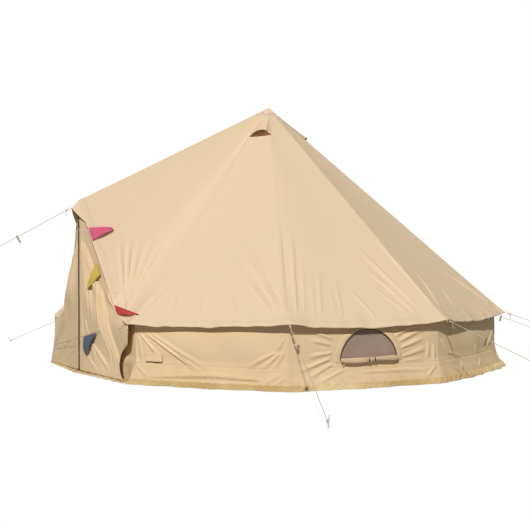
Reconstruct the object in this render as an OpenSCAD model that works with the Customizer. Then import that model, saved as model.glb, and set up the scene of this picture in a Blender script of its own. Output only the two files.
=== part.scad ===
// Bell tent: a canvas roof and wall on a centre pole and a door A-frame, held by guy ropes and pegs.
// Millimetres, +Z up, origin on the ground under the centre pole, door towards -Y.

/* [Roof] */
// Height of the point where the roof seams meet
apex_height = 2985; // [2700:5:3300]
// Distance from the centre pole to an eave corner
eave_radius = 2690; // [2500:5:2900]
// Height of the eave corners
eave_height = 577; // [500:1:680]
// How much lower the eave hangs between two corners
eave_droop = 42; // [0:1:70]
// How far the roof hangs in between two seams
roof_sag = 26; // [0:1:50]
// Thickness of the canvas
canvas = 3; // [2:0.5:4]
// Radius of the apex cap
cap_radius = 96; // [85:1:140]
// Height of the apex cap's peak above the roof seams' meeting point
cap_peak = 15; // [10:1:40]

/* [Plan] */
// Angle from the door to the eave corner beside it
door_corner_angle = 25; // [23:0.5:27]
// Distance from the centre pole to that corner
door_corner_radius = 2500; // [2440:5:2600]
// Height of that corner
door_corner_height = 545; // [500:1:600]
// Angle from the door to the eave corner after it
side_corner_angle = 60.5; // [58:0.5:63]

/* [Wall] */
// How far the eave stands out past the wall at a corner
eave_overhang = 105; // [80:1:140]
// How far a wall panel bulges between its corners
wall_bulge = 58; // [0:1:70]
// Depth of the soft folds in a wall panel
wall_fold = 9; // [0:1:14]
// Height of the skirt band under the wall
skirt_height = 180; // [120:1:200]
// How far the skirt stands out at the ground
skirt_flare = 85; // [40:1:110]
// How much further it stands out at the corners beside the door
door_corner_flare = 15; // [0:1:140]
// How far it bows out between two corners
skirt_bow = 45; // [0:1:80]
// Width of the mud flap on the ground
mud_flap_width = 62; // [40:1:120]
// Height of the mud flap's crinkles
mud_flap_crinkle = 7; // [0:1:10]

/* [Vents] */
// Width of a vent opening in the roof
vent_width = 150; // [100:1:160]
// Height of a vent opening, up the slope
vent_rise = 62; // [40:1:70]
// How far a vent hood stands off the roof
hood_lift = 72; // [40:1:90]

/* [Window] */
// Width of a window
window_width = 540; // [400:1:640]
// Height of a window
window_height = 245; // [180:1:260]
// Height of the window sill above the ground
window_sill = 272; // [250:1:290]
// Radius of the rolled-up window cover
window_roll_radius = 23; // [15:1:30]

/* [Cable port] */
// Width of the cable-port flap
port_width = 185; // [120:1:220]
// Height of the cable-port flap
port_height = 80; // [60:1:100]
// Height of the flap's top edge above the ground
port_top = 288; // [280:1:320]

/* [Door] */
// Height of the door frame's top
door_height = 1777; // [1700:1:1850]
// Distance from the centre pole to the zip
door_reach = 2357; // [2320:1:2400]
// Half the width between the door legs' lines at the ground
door_half_width = 1050; // [1000:1:1090]
// How far the legs' feet stand back from the zip
door_setback = 212; // [190:1:235]
// Height of the door flaps' top edge
flap_top = 1480; // [1400:1:1500]
// Depth of the hanging folds in a door flap
flap_fold = 30; // [0:1:36]
// Width of the zip tape
zip_width = 24; // [16:1:30]
// How far the hood stands out in front of the zip
door_hood_reach = 75; // [50:1:110]

/* [Poles] */
// Diameter of the centre pole
pole_d = 38; // [30:1:45]
// Wall thickness of the centre pole's tubes at their joint
pole_wall = 2; // [1.5:0.25:3]
// Height of the centre pole's joint
pole_joint = 1480; // [1200:5:1700]
// Diameter of the A-frame legs
leg_d = 25; // [20:1:28]

/* [Ground] */
// Thickness of the groundsheet
groundsheet_t = 3; // [2:0.5:5]
// How far the groundsheet's edge lies inside the wall
groundsheet_inset = 25; // [15:1:60]

/* [Guy ropes] */
// Diameter of a guy rope
rope_d = 6; // [4:0.5:8]
// Distance from the centre pole to the pegs
peg_radius = 4300; // [3800:5:4600]
// Distance from the centre pole to the peg in front of the door
front_peg_radius = 5400; // [4800:5:5800]
// Diameter of a peg
peg_d = 9; // [6:0.5:12]
// Length of a peg that stands out of the ground
peg_length = 95; // [80:1:140]
// Length of a runner
runner_length = 84; // [76:1:120]
// Width of a runner
runner_width = 24; // [18:1:30]
// Thickness of a runner
runner_t = 9; // [6:0.5:14]
// Distance along the rope from the ring to the runner
runner_place = 430; // [360:5:600]

/* [Bunting] */
// Diameter of the bunting string
string_d = 4; // [3:0.5:5]
// Thickness of a pennant
pennant_t = 1.5; // [1:0.25:2]

/* [Hidden] */
$fn = 48;

PANELS = 9;
GUYS = 9;
FRONT_GUY = 9;
VENT_PANELS = [1, 4, 6, 9];
WINDOW_PANELS = [2, 8];

// Small gaps between pieces that lie against each other
sewing_gap = 3;
fit_gap = 0.5;

// Columns and rows of the canvas panels
across = 8;
roof_rows = 7;
wall_rows = 6;

// Colours
CANVAS = [0.90, 0.80, 0.66];
CANVAS_LIGHT = [0.93, 0.83, 0.71];
CANVAS_EDGE = [0.86, 0.75, 0.55];
MESH = [0.60, 0.52, 0.46];
STEEL = [0.72, 0.73, 0.74];
RUBBER = [0.12, 0.12, 0.12];
ZIP_BROWN = [0.28, 0.20, 0.14];
ROPE = [0.90, 0.88, 0.80];
WOOD = [0.62, 0.46, 0.30];

// Plane geometry
function polar(r, a, z) = [r * sin(a), -r * cos(a), z];
function lerp(a, b, t) = a + (b - a) * t;
function unit(v) = v / norm(v);
function level(v) = [v[0], v[1], 0];
function flip(p, side) = [side * p[0], p[1], p[2]];
function arch(u) = 4 * u * (1 - u);

// Eave corners, numbered from the one beside the door; the last is its mirror image
last_corner = PANELS;
side_step = (360 - 2 * side_corner_angle) / (PANELS - 2);
function at_door(k) = k == 0 || k == last_corner;
function corner_angle(k) =
    k == 0 ? door_corner_angle :
    k == last_corner ? 360 - door_corner_angle :
    side_corner_angle + (k - 1) * side_step;
function corner_radius(k) = at_door(k) ? door_corner_radius : eave_radius;
function corner_height(k) = at_door(k) ? door_corner_height : eave_height;
function eave_corner(k) = polar(corner_radius(k), corner_angle(k), corner_height(k));

// Roof: cones from the apex, hanging in between the seams and drooping at the eave
apex = [0, 0, apex_height];
hub_share = 0.022;
droop_from = 0.86;
roof_slope = (apex_height - eave_height) / eave_radius;
roof_drop = canvas * sqrt(1 + roof_slope * roof_slope);
function row_share(i) = 1 - (1 - hub_share) * pow(1 - i / roof_rows, 1.6);
function droop(k) = eave_droop * (at_door(k) || at_door(k + 1) ? 0.5 : 1.15);
function hang(k, u, v) =
    arch(u) * (roof_sag * sin(180 * v) + droop(k) * pow(max(0, (v - droop_from) / (1 - droop_from)), 2));
function roof_at(k, u, v) =
    apex + v * (lerp(eave_corner(k), eave_corner(k + 1), u) - apex) - [0, 0, hang(k, u, v)];

// Wall: the eave's plan drawn in, bulging between the corners, over a skirt that stands out
wall_share = 1 - eave_overhang / eave_radius;
mud_lift = 10;
function skirt_share(z) = max(0, 1 - z / skirt_height);
function flare(k, z) = (skirt_flare + (at_door(k) ? door_corner_flare : 0)) * skirt_share(z);
function wall_corner(k, z, inset) =
    polar(wall_share * corner_radius(k) + flare(k, z) - inset, corner_angle(k), z);
function wall_out(k) =
    let (d = wall_corner(k + 1, eave_height, 0) - wall_corner(k, eave_height, 0))
    unit([d[1], -d[0], 0]);
function wall_top(k, u) = roof_at(k, u, wall_share)[2] - roof_drop - sewing_gap;
function has_window(k) = len(search(k + 1, WINDOW_PANELS)) > 0;
function fold_depth(k) = wall_fold * (has_window(k) ? 0.25 : 1);
function wall_swell(k, u, z) =
    arch(u) * (skirt_bow * skirt_share(z) +
        sin(180 * z / wall_top(k, u)) * (wall_bulge + fold_depth(k) * sin(900 * u + 140 * k + 0.3 * z)));
function wall_at(k, u, z, inset = 0) =
    lerp(wall_corner(k, z, inset), wall_corner(k + 1, z, inset), u) + wall_out(k) * wall_swell(k, u, z);

// Door: a leg line on each side, from the door top to a foot that stands back
door_top = [0, -door_reach, door_height];
leg_foot = [door_half_width, door_setback - door_reach, 0];
door_along = unit(level(leg_foot - door_top));
door_out = [door_along[1], -door_along[0], 0];
leg_axis = unit(door_top - leg_foot);
flare_from = 0.584;
edge_bend = 0.6;
function leg_line(t) = lerp(door_top, leg_foot, t);
function leg_x(z) = door_half_width * (door_height - z) / door_height;
function door_plane(x, z) = [x, -door_reach + x * door_setback / door_half_width, z];
flare_point = leg_line(flare_from);
flare_guide = lerp(leg_line(0.70), eave_corner(0), 0.25);
function bend(a, b, c, t) = lerp(lerp(a, b, t), lerp(b, c, t), t);
function door_edge(s) =
    s <= edge_bend ? leg_line(flare_from * s / edge_bend) :
    bend(flare_point, flare_guide, eave_corner(0), (s - edge_bend) / (1 - edge_bend));
door_gore_sag = 14;
function door_roof_at(s, v) =
    apex + v * (door_edge(s) - apex) - [0, 0, door_gore_sag * arch(s) * sin(180 * v)];

// A closed sheet between two grids of points, rows down and columns to the right as seen from outside
module sheet(outer, inner) {
    rows = len(outer);
    columns = len(outer[0]);
    half = rows * columns;
    function o(i, j) = i * columns + j;
    function n(i, j) = half + i * columns + j;
    points = concat([for (row = outer) each row], [for (row = inner) each row]);
    faces = concat(
        [for (i = [0:rows - 2], j = [0:columns - 2]) each [
            [o(i, j), o(i + 1, j + 1), o(i + 1, j)], [o(i, j), o(i, j + 1), o(i + 1, j + 1)],
            [n(i, j), n(i + 1, j), n(i + 1, j + 1)], [n(i, j), n(i + 1, j + 1), n(i, j + 1)]]],
        [for (i = [0:rows - 2]) let (e = columns - 1) each [
            [o(i, 0), o(i + 1, 0), n(i + 1, 0)], [o(i, 0), n(i + 1, 0), n(i, 0)],
            [o(i + 1, e), o(i, e), n(i, e)], [o(i + 1, e), n(i, e), n(i + 1, e)]]],
        [for (j = [0:columns - 2]) let (e = rows - 1) each [
            [o(0, j + 1), o(0, j), n(0, j)], [o(0, j + 1), n(0, j), n(0, j + 1)],
            [o(e, j), o(e, j + 1), n(e, j + 1)], [o(e, j), n(e, j + 1), n(e, j)]]]
    );
    polyhedron(points, faces, convexity = 6);
}

// A sheet whose inner face is its outer face moved by one step
module moved_sheet(grid, step) {
    sheet(grid, [for (row = grid) [for (p = row) p + step]]);
}

// The same sheet on the right side of the door, or mirrored to the left
function mirrored(grid) = [for (row = grid) [for (j = [len(row) - 1:-1:0]) flip(row[j], -1)]];
function on_side(grid, side) = side > 0 ? grid : mirrored(grid);

// A round bar from one point to another
module bar(p, q, d) {
    v = q - p;
    translate(p)
        rotate([0, acos(v[2] / norm(v)), atan2(v[1], v[0])])
            cylinder(d = d, h = norm(v));
}

// Children placed on three axes at a point
module placed(x, y, z, p) {
    multmatrix([
        [x[0], y[0], z[0], p[0]],
        [x[1], y[1], z[1], p[1]],
        [x[2], y[2], z[2], p[2]],
        [0, 0, 0, 1]]) children();
}

// A half-moon, flat side down on the X axis
module half_moon(w, h) {
    r = (w * w / 4 + h * h) / (2 * h);
    intersection() {
        translate([0, h - r]) circle(r = r, $fn = 96);
        translate([-w / 2, 0]) square([w, h]);
    }
}

// Groundsheet: one flat sheet inside the wall, with a point towards the zip
function groundsheet_corner(k) = polar(wall_share * corner_radius(k) - groundsheet_inset, corner_angle(k), 0);
groundsheet_outline = concat(
    [[0, -door_reach + 2 * groundsheet_inset]],
    [for (k = [0:last_corner]) [groundsheet_corner(k)[0], groundsheet_corner(k)[1]]]
);

module groundsheet() {
    color([0.35, 0.36, 0.34])
    linear_extrude(groundsheet_t) polygon(groundsheet_outline);
}

// Centre pole: a lower tube, an upper tube with a spigot that drops into it, and a plug under the cap
foot_t = 14;
foot_wall = 5;
pole_foot_d = pole_d + 2 * foot_wall + 14;
pole_base = groundsheet_t + foot_t / 2;
plug_d = pole_d + 36;
plug_top = apex_height - roof_slope * plug_d / 2 - 8;
pole_top = plug_top - 72;
spigot_length = 120;
spigot_d = pole_d - 2 * pole_wall - 2 * fit_gap;

module centre_pole_lower() {
    color(STEEL)
    translate([0, 0, pole_base])
        difference() {
            cylinder(d = pole_d, h = pole_joint - pole_base);
            translate([0, 0, pole_joint - pole_base - spigot_length - fit_gap])
                cylinder(d = pole_d - 2 * pole_wall, h = spigot_length + 10);
        }
}

module centre_pole_upper() {
    color(STEEL)
    translate([0, 0, pole_joint + fit_gap]) {
        cylinder(d = pole_d, h = pole_top - pole_joint - fit_gap);
        translate([0, 0, -spigot_length]) cylinder(d = spigot_d, h = spigot_length + 10);
    }
}

module centre_pole_plug() {
    color([0.20, 0.19, 0.18])
    translate([0, 0, pole_top + fit_gap])
        rotate_extrude()
            polygon([[0, 0], [plug_d / 2 - 14, 0], [plug_d / 2, 14], [plug_d / 2, plug_top - pole_top - 8],
                [plug_d / 2 - 8, plug_top - pole_top - fit_gap], [0, plug_top - pole_top - fit_gap]]);
}

// A-frame: two legs just inside the door legs' lines, joined by a crown
leg_inset = 60;
leg_start = 0.045;
crown_reach = 0.085;
crown_d = leg_d + 8;
foot_d = leg_d + 2 * foot_wall;
leg_lift = groundsheet_t + 27;
leg_end = 1 - leg_lift / door_height;
function pole_line(t, side) = flip(leg_line(t) - door_out * leg_inset, side);
crown_share = leg_inset * door_out[0] / door_half_width;

module a_frame_leg(side) {
    color(STEEL)
    bar(pole_line(leg_start, side), pole_line(leg_end, side), leg_d);
}

module a_frame_crown() {
    color([0.62, 0.63, 0.64])
    difference() {
        union() {
            for (side = [-1, 1])
                bar(pole_line(crown_share, side), pole_line(crown_reach, side), crown_d);
            translate(pole_line(crown_share, 1)) sphere(d = crown_d);
        }
        for (side = [-1, 1])
            bar(pole_line(leg_start - 0.001, side), pole_line(crown_reach + 0.05, side), leg_d + 2 * fit_gap);
    }
}

boot_length = 60;
function leg_at(z) = 1 - z / door_height;

module leg_boot(side) {
    difference() {
        bar(pole_line(leg_at(leg_lift + boot_length), side), pole_line(leg_at(-50), side), foot_d);
        bar(pole_line(leg_at(leg_lift + 2 * boot_length), side), pole_line(leg_at(leg_lift - fit_gap), side),
            leg_d + 2 * fit_gap);
        translate(level(pole_line(1, side)) + [-100, -100, groundsheet_t - 200]) cube(200);
    }
}

module pole_feet() {
    color(RUBBER) {
        translate([0, 0, groundsheet_t])
            difference() {
                union() {
                    cylinder(d = pole_foot_d, h = foot_t);
                    cylinder(d1 = pole_foot_d + 8, d2 = pole_foot_d, h = foot_t / 2);
                }
                translate([0, 0, foot_t / 2 - fit_gap]) cylinder(d = pole_d + 2 * fit_gap, h = foot_t);
            }
        for (side = [-1, 1])
            leg_boot(side);
    }
}

// Apex cap: a peaked canvas cone that follows the seams and the door ridge
cap_ends = concat([door_top], [for (k = [0:last_corner]) eave_corner(k)]);
function cap_rim(j, up) =
    let (way = cap_ends[j % len(cap_ends)] - apex)
    apex + way * cap_radius / norm(level(way)) + [0, 0, up];

module apex_cap() {
    n = len(cap_ends);
    points = concat(
        [apex + [0, 0, cap_peak], apex + [0, 0, sewing_gap]],
        [for (j = [0:n - 1]) cap_rim(j, sewing_gap + roof_drop)],
        [for (j = [0:n - 1]) cap_rim(j, sewing_gap)]
    );
    faces = [for (j = [0:n - 1]) let (h = (j + 1) % n) each [
        [0, 2 + h, 2 + j], [1, 2 + n + j, 2 + n + h],
        [2 + j, 2 + h, 2 + n + h], [2 + j, 2 + n + h, 2 + n + j]]];
    color(CANVAS_LIGHT)
    polyhedron(points, faces);
}

// Roof gores, with the vent openings cut out
vent_share = 0.138;
function vent_point(k) = roof_at(k, 0.5, vent_share);
function vent_right(k) = unit(level(eave_corner(k + 1) - eave_corner(k)));
function vent_up(k) = unit(roof_at(k, 0.5, vent_share - 0.02) - vent_point(k));

module at_vent(k) {
    placed(vent_right(k), vent_up(k), cross(vent_right(k), vent_up(k)), vent_point(k)) children();
}

module roof_gore(number) {
    k = number - 1;
    grid = [for (i = [0:roof_rows]) [for (j = [0:across]) roof_at(k, j / across, row_share(i))]];
    color(CANVAS)
    if (len(search(number, VENT_PANELS)) > 0)
        difference() {
            moved_sheet(grid, [0, 0, -roof_drop]);
            at_vent(k) translate([0, 0, -30]) linear_extrude(60) half_moon(vent_width, vent_rise);
        }
    else
        moved_sheet(grid, [0, 0, -roof_drop]);
}

module roof_door_gore(side) {
    grid = [for (i = [0:roof_rows]) [for (j = [0:10]) door_roof_at(j / 10, row_share(i))]];
    color(CANVAS)
    moved_sheet(on_side(grid, side), [0, 0, -roof_drop]);
}

// Vent hoods: half cones that open down the slope
hood_from = 0.045;
hood_to = 0.146;
hood_rows = 5;
hood_columns = 10;
hood_spread = 0.86;

function hood_at(k, i, a, grow) =
    let (f = i / hood_rows, v = lerp(hood_from, hood_to, f),
         width = norm(eave_corner(k + 1) - eave_corner(k)) * v,
         u = 0.5 - cos(a) * (hood_spread / 2 + grow / width),
         lift = hood_lift * pow(f, 0.85) + 6)
    roof_at(k, u, v) + cross(vent_right(k), vent_up(k)) * (sewing_gap + (lift + grow) * sin(a));

module vent_hoods() {
    color(CANVAS_LIGHT)
    for (number = VENT_PANELS)
        sheet(
            [for (i = [0:hood_rows]) [for (j = [0:hood_columns])
                hood_at(number - 1, i, 180 * j / hood_columns, canvas)]],
            [for (i = [0:hood_rows]) [for (j = [0:hood_columns])
                hood_at(number - 1, i, 180 * j / hood_columns, 0)]]);
}

// Windows and vents are closed by insect mesh, set in their openings
mesh_t = 1.5;
function wall_chord(k) = unit(level(wall_corner(k + 1, eave_height, 0) - wall_corner(k, eave_height, 0)));
function wall_right(k, u, z) = unit(wall_at(k, u + 0.02, z) - wall_at(k, u - 0.02, z));
function wall_face(k, u, z, right) = unit(cross(right, wall_at(k, u, z + 20) - wall_at(k, u, z - 20)));

module on_wall(k, u, z, right) {
    face = wall_face(k, u, z, right);
    placed(right, cross(face, right), face, wall_at(k, u, z)) children();
}

module at_window(k) {
    on_wall(k, 0.5, window_sill + window_height / 2, wall_chord(k))
        translate([0, -window_height / 2, 0]) children();
}

module insect_meshes() {
    color(MESH) {
        for (number = VENT_PANELS)
            at_vent(number - 1)
                translate([0, fit_gap, -canvas]) linear_extrude(mesh_t)
                    half_moon(vent_width - 4 * fit_gap, vent_rise - 2 * fit_gap);
        for (number = WINDOW_PANELS)
            at_window(number - 1)
                translate([0, fit_gap, -canvas]) linear_extrude(mesh_t)
                    half_moon(window_width - 4 * fit_gap, window_height - 2 * fit_gap);
    }
}

// Wall panels
function wall_grid(k, inset) =
    [for (i = [0:wall_rows]) [for (j = [0:across])
        let (u = j / across) wall_at(k, u, lerp(wall_top(k, u), skirt_height, i / wall_rows), inset)]];

module wall_sheet(k) {
    sheet(wall_grid(k, 0), wall_grid(k, canvas));
}

module wall_panel(number) {
    k = number - 1;
    color(CANVAS)
    if (has_window(k))
        difference() {
            wall_sheet(k);
            at_window(k) translate([0, 0, -60]) linear_extrude(120) half_moon(window_width, window_height);
        }
    else
        wall_sheet(k);
}

// Return: the wall carried round the corner, behind the door flap
return_rows = 6;
return_columns = 6;
return_gap = 14;
return_floor_x = 440;
return_top_x = 590;
return_top_z = 655;
function return_corner(z, inset) = wall_corner(0, z, inset);
corner_top = wall_top(0, 0);
function return_at(i, j, inset) =
    let (f = i / return_rows, g = j / return_columns,
         z = lerp(lerp(return_top_z, corner_top - 20, g), mud_lift, f),
         x = lerp(return_top_x, return_floor_x, f),
         near = door_plane(x, z) - door_out * return_gap,
         far = return_corner(z, 0),
         p = lerp(near, far, g),
         behind = door_plane(p[0], z)[1] + return_gap,
         tuck = [0, max(0, behind - p[1]) * min(1, 3 * (1 - g)), 0])
    [p[0], p[1], z] + tuck + (j == return_columns ? return_corner(z, inset) - far : [0, inset, 0]);

module door_return(side) {
    outer = [for (i = [0:return_rows]) [for (j = [0:return_columns]) return_at(i, j, 0)]];
    inner = [for (i = [0:return_rows]) [for (j = [0:return_columns]) return_at(i, j, canvas)]];
    color(CANVAS)
    sheet(on_side(outer, side), on_side(inner, side));
}

// Skirt band, sewn to the wall's lower edge, a length to each panel
skirt_rows = 2;
band_end = 0.0006;
function band_share(u) = lerp(band_end, 1 - band_end, u);
function skirt_grid(k, inset) =
    [for (i = [0:skirt_rows]) [for (j = [0:across])
        wall_at(k, band_share(j / across), lerp(skirt_height, mud_lift, i / skirt_rows), inset)]];

module skirt_band() {
    color(CANVAS_EDGE)
    for (k = [0:PANELS - 1])
        sheet(skirt_grid(k, 0), skirt_grid(k, canvas));
}

// Mud flap, crinkled where it lies on the ground
mud_columns = 14;
mud_t = 2;
function mud_wave(j) = abs(sin(137 * j)) * mud_flap_crinkle;
function mud_share(j) = band_share(j / mud_columns);
function mud_side(k, j, out) =
    lerp(wall_corner(k, 0, -out), wall_corner(k + 1, 0, -out), mud_share(j)) +
        wall_out(k) * wall_swell(k, mud_share(j), 0);
function mud_door(j, out) = lerp(door_top - [0, out, 0], wall_corner(0, 0, -out), mud_share(j));
function mud_strip(row, wave) = [for (j = [0:mud_columns])
    [row[j][0], row[j][1], mud_t + 0.5 + wave * mud_wave(j)]];
function mud_edge(k, out) = [for (j = [0:mud_columns]) mud_side(k, j, out)];
function mud_door_edge(out) = [for (j = [0:mud_columns]) mud_door(j, out)];

module mud_flap() {
    color([0.84, 0.76, 0.52]) {
        for (k = [0:PANELS - 1])
            moved_sheet([mud_strip(mud_edge(k, -6), 0.4), mud_strip(mud_edge(k, mud_flap_width), 1)],
                [0, 0, -mud_t]);
        for (side = [-1, 1])
            moved_sheet(
                on_side([mud_strip(mud_door_edge(-6), 0.4), mud_strip(mud_door_edge(mud_flap_width), 1)], side),
                [0, 0, -mud_t]);
    }
}

// Window covers, rolled up below the sills, clear of the wall's fullest place
roll_length = window_width + 30;
roll_height = window_sill - window_roll_radius - 4;
function roll_off(k) =
    let (half = roll_length / 2 / norm(wall_corner(k + 1, eave_height, 0) - wall_corner(k, eave_height, 0)),
         face = wall_face(k, 0.5, roll_height, wall_chord(k)), middle = wall_at(k, 0.5, roll_height))
    max([for (u = [0.5 - half:half / 6:0.5 + half], z = [-1, 0, 1])
        (wall_at(k, u, roll_height + z * window_roll_radius) - middle) * face]);

module window_rolls() {
    color([0.80, 0.68, 0.54])
    for (number = WINDOW_PANELS)
        let (k = number - 1)
        on_wall(k, 0.5, roll_height, wall_chord(k))
            translate([-roll_length / 2, 0, window_roll_radius + sewing_gap + roll_off(k)])
                rotate([0, 90, 0]) cylinder(r = window_roll_radius, h = roll_length);
}

// Door head: the fixed canvas above the flaps
head_gap = 8;
head_top = door_height - 36;
head_low = flap_top + 6;

module door_head() {
    grid = [for (i = [0:4]) [for (j = [0:4])
        let (z = lerp(head_top, head_low, i / 4)) door_plane((leg_x(z) - head_gap) * j / 4, z)]];
    color(CANVAS)
    for (side = [-1, 1])
        moved_sheet(on_side(grid, side), [0, canvas, 0]);
}

// Hood over the door's top
hood_drop = 81;
hood_leg_share = 0.14;
hood_off = 7;
door_hood_tip = door_top + [0, -door_hood_reach, -hood_drop];

module door_hood() {
    from = door_top + [0, -hood_off, 0];
    low = leg_line(hood_leg_share) + door_out * hood_off;
    grid = [for (i = [0:4]) [for (j = [0:4])
        let (v = lerp(0.08, 1, i / 4), s = j / 4)
        from + v * (lerp(door_hood_tip, low, s) - from) + door_out * 14 * arch(s) * v * (1 - v / 2)]];
    color(CANVAS_LIGHT)
    for (side = [-1, 1])
        moved_sheet(on_side(grid, side), [0, 0, -roof_drop]);
}

// Door flaps: hung from the legs' lines, with a loose lower corner and hanging folds
flap_rows = 10;
flap_columns = 10;
flap_low = 25;
flap_edge = 12;
zip_gap = 1.5;
flap_corner_x = 520;
flap_corner_sweep = 275;
flap_corner_top = 345;
function flap_reach(z) =
    let (s = (z - flap_low) / (flap_corner_top - flap_low))
    min(leg_x(z) - flap_edge, flap_corner_x + flap_corner_sweep * s * s);
function flap_wave(p, z) =
    flap_fold * (1 - z / door_height) * sin(180 * p) * (0.5 - 0.5 * cos(720 * p + 0.05 * z));
function flap_at(i, j) =
    let (z = lerp(flap_top, flap_low, i / flap_rows), p = j / flap_columns,
         x = lerp(zip_width / 2 + zip_gap, flap_reach(z), p))
    door_plane(x, z) + door_out * flap_wave(p, z);
flap_grid = [for (i = [0:flap_rows]) [for (j = [0:flap_columns]) flap_at(i, j)]];

module door_flap(side) {
    color([0.80, 0.70, 0.56])
    moved_sheet(on_side(flap_grid, side), [0, canvas, 0]);
}

// Zip on the right flap, with a slider that runs up it
zip_t = 3;
teeth_width = 7;
teeth_t = 5;
slider_base = 62;
slider_width = 16;
slider_height = 24;
slider_t = 6;
zip_front = -door_reach - zip_t / 2;
teeth_front = -door_reach - teeth_t / 2;
slider_travel = flap_top - slider_height - 12 - slider_base;

module door_zip() {
    color(ZIP_BROWN) {
        translate([-zip_width / 2, zip_front, flap_low])
            cube([zip_width + 2 * (zip_gap - fit_gap) / 2, zip_t, flap_top - flap_low]);
        translate([-teeth_width / 2, teeth_front, flap_low])
            cube([teeth_width, teeth_t, flap_top - flap_low]);
    }
}

module zip_slider() {
    pull_t = 2;
    color([0.68, 0.62, 0.50]) {
        translate([-slider_width / 2, teeth_front - fit_gap - slider_t, slider_base])
            cube([slider_width, slider_t, slider_height]);
        translate([-slider_width / 4, teeth_front - fit_gap - slider_t - pull_t, slider_base - 30])
            cube([slider_width / 2, pull_t, slider_height + 20]);
    }
}

// Cable-port flap, hung by its top edge on the first wall panel
port_place = 0.145;
port_off = 8;
port_middle = port_top - port_height / 2;

module cable_port_flap() {
    color(CANVAS_LIGHT)
    on_wall(0, port_place, port_middle, wall_right(0, port_place, port_middle))
        translate([-port_width / 2, -port_height / 2, port_off]) cube([port_width, port_height, canvas]);
}

// Rings that the guy ropes are tied to
ring_r = 15;
ring_wire = 4;
function guy_angle(g) = g == FRONT_GUY ? 0 : corner_angle(g);
function guy_out(g) = polar(1, guy_angle(g), 0);
function guy_start(g) = g == FRONT_GUY ? door_hood_tip : eave_corner(g);
function ring_centre(g) =
    guy_start(g) + guy_out(g) * (ring_r + ring_wire / 2 + 2) - [0, 0, roof_drop / 2];
function guy_side(g) = cross([0, 0, 1], guy_out(g));

module eave_rings() {
    color(STEEL)
    for (g = [1:GUYS])
        placed(guy_out(g), [0, 0, 1], -guy_side(g), ring_centre(g))
            rotate_extrude() translate([ring_r, 0]) circle(d = ring_wire);
}

// Ropes, straight from the rings to the pegs
catch_height = 34;
guy_veer = 1.5;
function peg_angle(g) = guy_angle(g) + (g == 1 ? guy_veer : g == FRONT_GUY - 1 ? -guy_veer : 0);
function peg_catch(g) = polar(g == FRONT_GUY ? front_peg_radius : peg_radius, peg_angle(g), catch_height);
function rope_way(g) = unit(peg_catch(g) - ring_centre(g));
function rope_start(g) = ring_centre(g) + rope_way(g) * (ring_r + ring_wire / 2 + fit_gap);
function rope_end(g) = peg_catch(g) - rope_way(g) * (peg_d / 2 + fit_gap + 2);

module guy_ropes() {
    color(ROPE)
    for (g = [1:GUYS])
        bar(rope_start(g), rope_end(g), rope_d);
}

// Pegs, leaning away from the tent, with a hook at the top
peg_lean = 20;
hook_length = 26;
module guy_pegs() {
    color(STEEL)
    for (g = [1:GUYS])
        translate(peg_catch(g) - [0, 0, catch_height])
            rotate([0, 0, peg_angle(g) - 90])
                difference() {
                    translate([-catch_height * tan(peg_lean), 0, 0])
                        rotate([0, peg_lean, 0]) {
                            translate([0, 0, -20]) cylinder(d = peg_d, h = peg_length + 20);
                            translate([0, 0, peg_length]) sphere(d = peg_d);
                            translate([0, 0, peg_length]) rotate([0, 125, 0]) cylinder(d = peg_d, h = hook_length);
                        }
                    translate([-100, -100, -200]) cube(200);
                }
}

// Runners: slats that slide on the ropes
runner_hole = runner_length / 2 - 17;
front_runner_place = runner_place + 170;
function runner_at(g) = rope_start(g) + rope_way(g) * (g == FRONT_GUY ? front_runner_place : runner_place);

module guy_runner(g) {
    up = unit(cross(rope_way(g), guy_side(g)));
    color(WOOD)
    placed(cross(up, rope_way(g)), up, rope_way(g), runner_at(g))
        translate([0, -runner_hole, -runner_t / 2])
            difference() {
                union() {
                    translate([-runner_width / 2, -runner_length / 2 + runner_width / 2, 0])
                        cube([runner_width, runner_length - runner_width, runner_t]);
                    for (end = [-1, 1])
                        translate([0, end * (runner_length - runner_width) / 2, 0])
                            cylinder(d = runner_width, h = runner_t);
                }
                for (end = [-1, 1])
                    translate([0, end * runner_hole, -1]) cylinder(d = rope_d + 2 * fit_gap, h = runner_t + 2);
            }
}

// Bunting: a string along the right door leg and on to the eave corner, and four pennants
string_off = 6;
string_from = 0.15;
function string_at(t) = leg_line(t) + door_out * string_off;
function edge_string(s) = door_edge(s) + door_out * string_off;

string_sides = 8;
string_path = concat([string_at(string_from)], [for (s = [edge_bend:0.05:0.96]) edge_string(s)]);
function string_way(i) =
    unit(string_path[min(i + 1, len(string_path) - 1)] - string_path[max(i - 1, 0)]);
function string_ring(i) =
    let (way = string_way(i), b = unit(cross(way, door_out)), a = cross(b, way))
    [for (j = [0:string_sides - 1])
        let (turn = -360 * j / string_sides)
        string_path[i] + string_d / 2 * (a * cos(turn) + b * sin(turn))];

module bunting_string() {
    n = string_sides;
    e = len(string_path) - 1;
    points = concat([for (i = [0:e]) each string_ring(i)], [string_path[0], string_path[e]]);
    first = n * (e + 1);
    faces = concat(
        [for (i = [0:e - 1], j = [0:n - 1]) let (h = (j + 1) % n, p = i * n, q = p + n) each [
            [p + j, q + h, q + j], [p + j, p + h, q + h]]],
        [for (j = [0:n - 1]) let (h = (j + 1) % n) each [
            [h, j, first], [e * n + j, e * n + h, first + 1]]]
    );
    color([0.62, 0.36, 0.34])
    polyhedron(points, faces);
}

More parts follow.
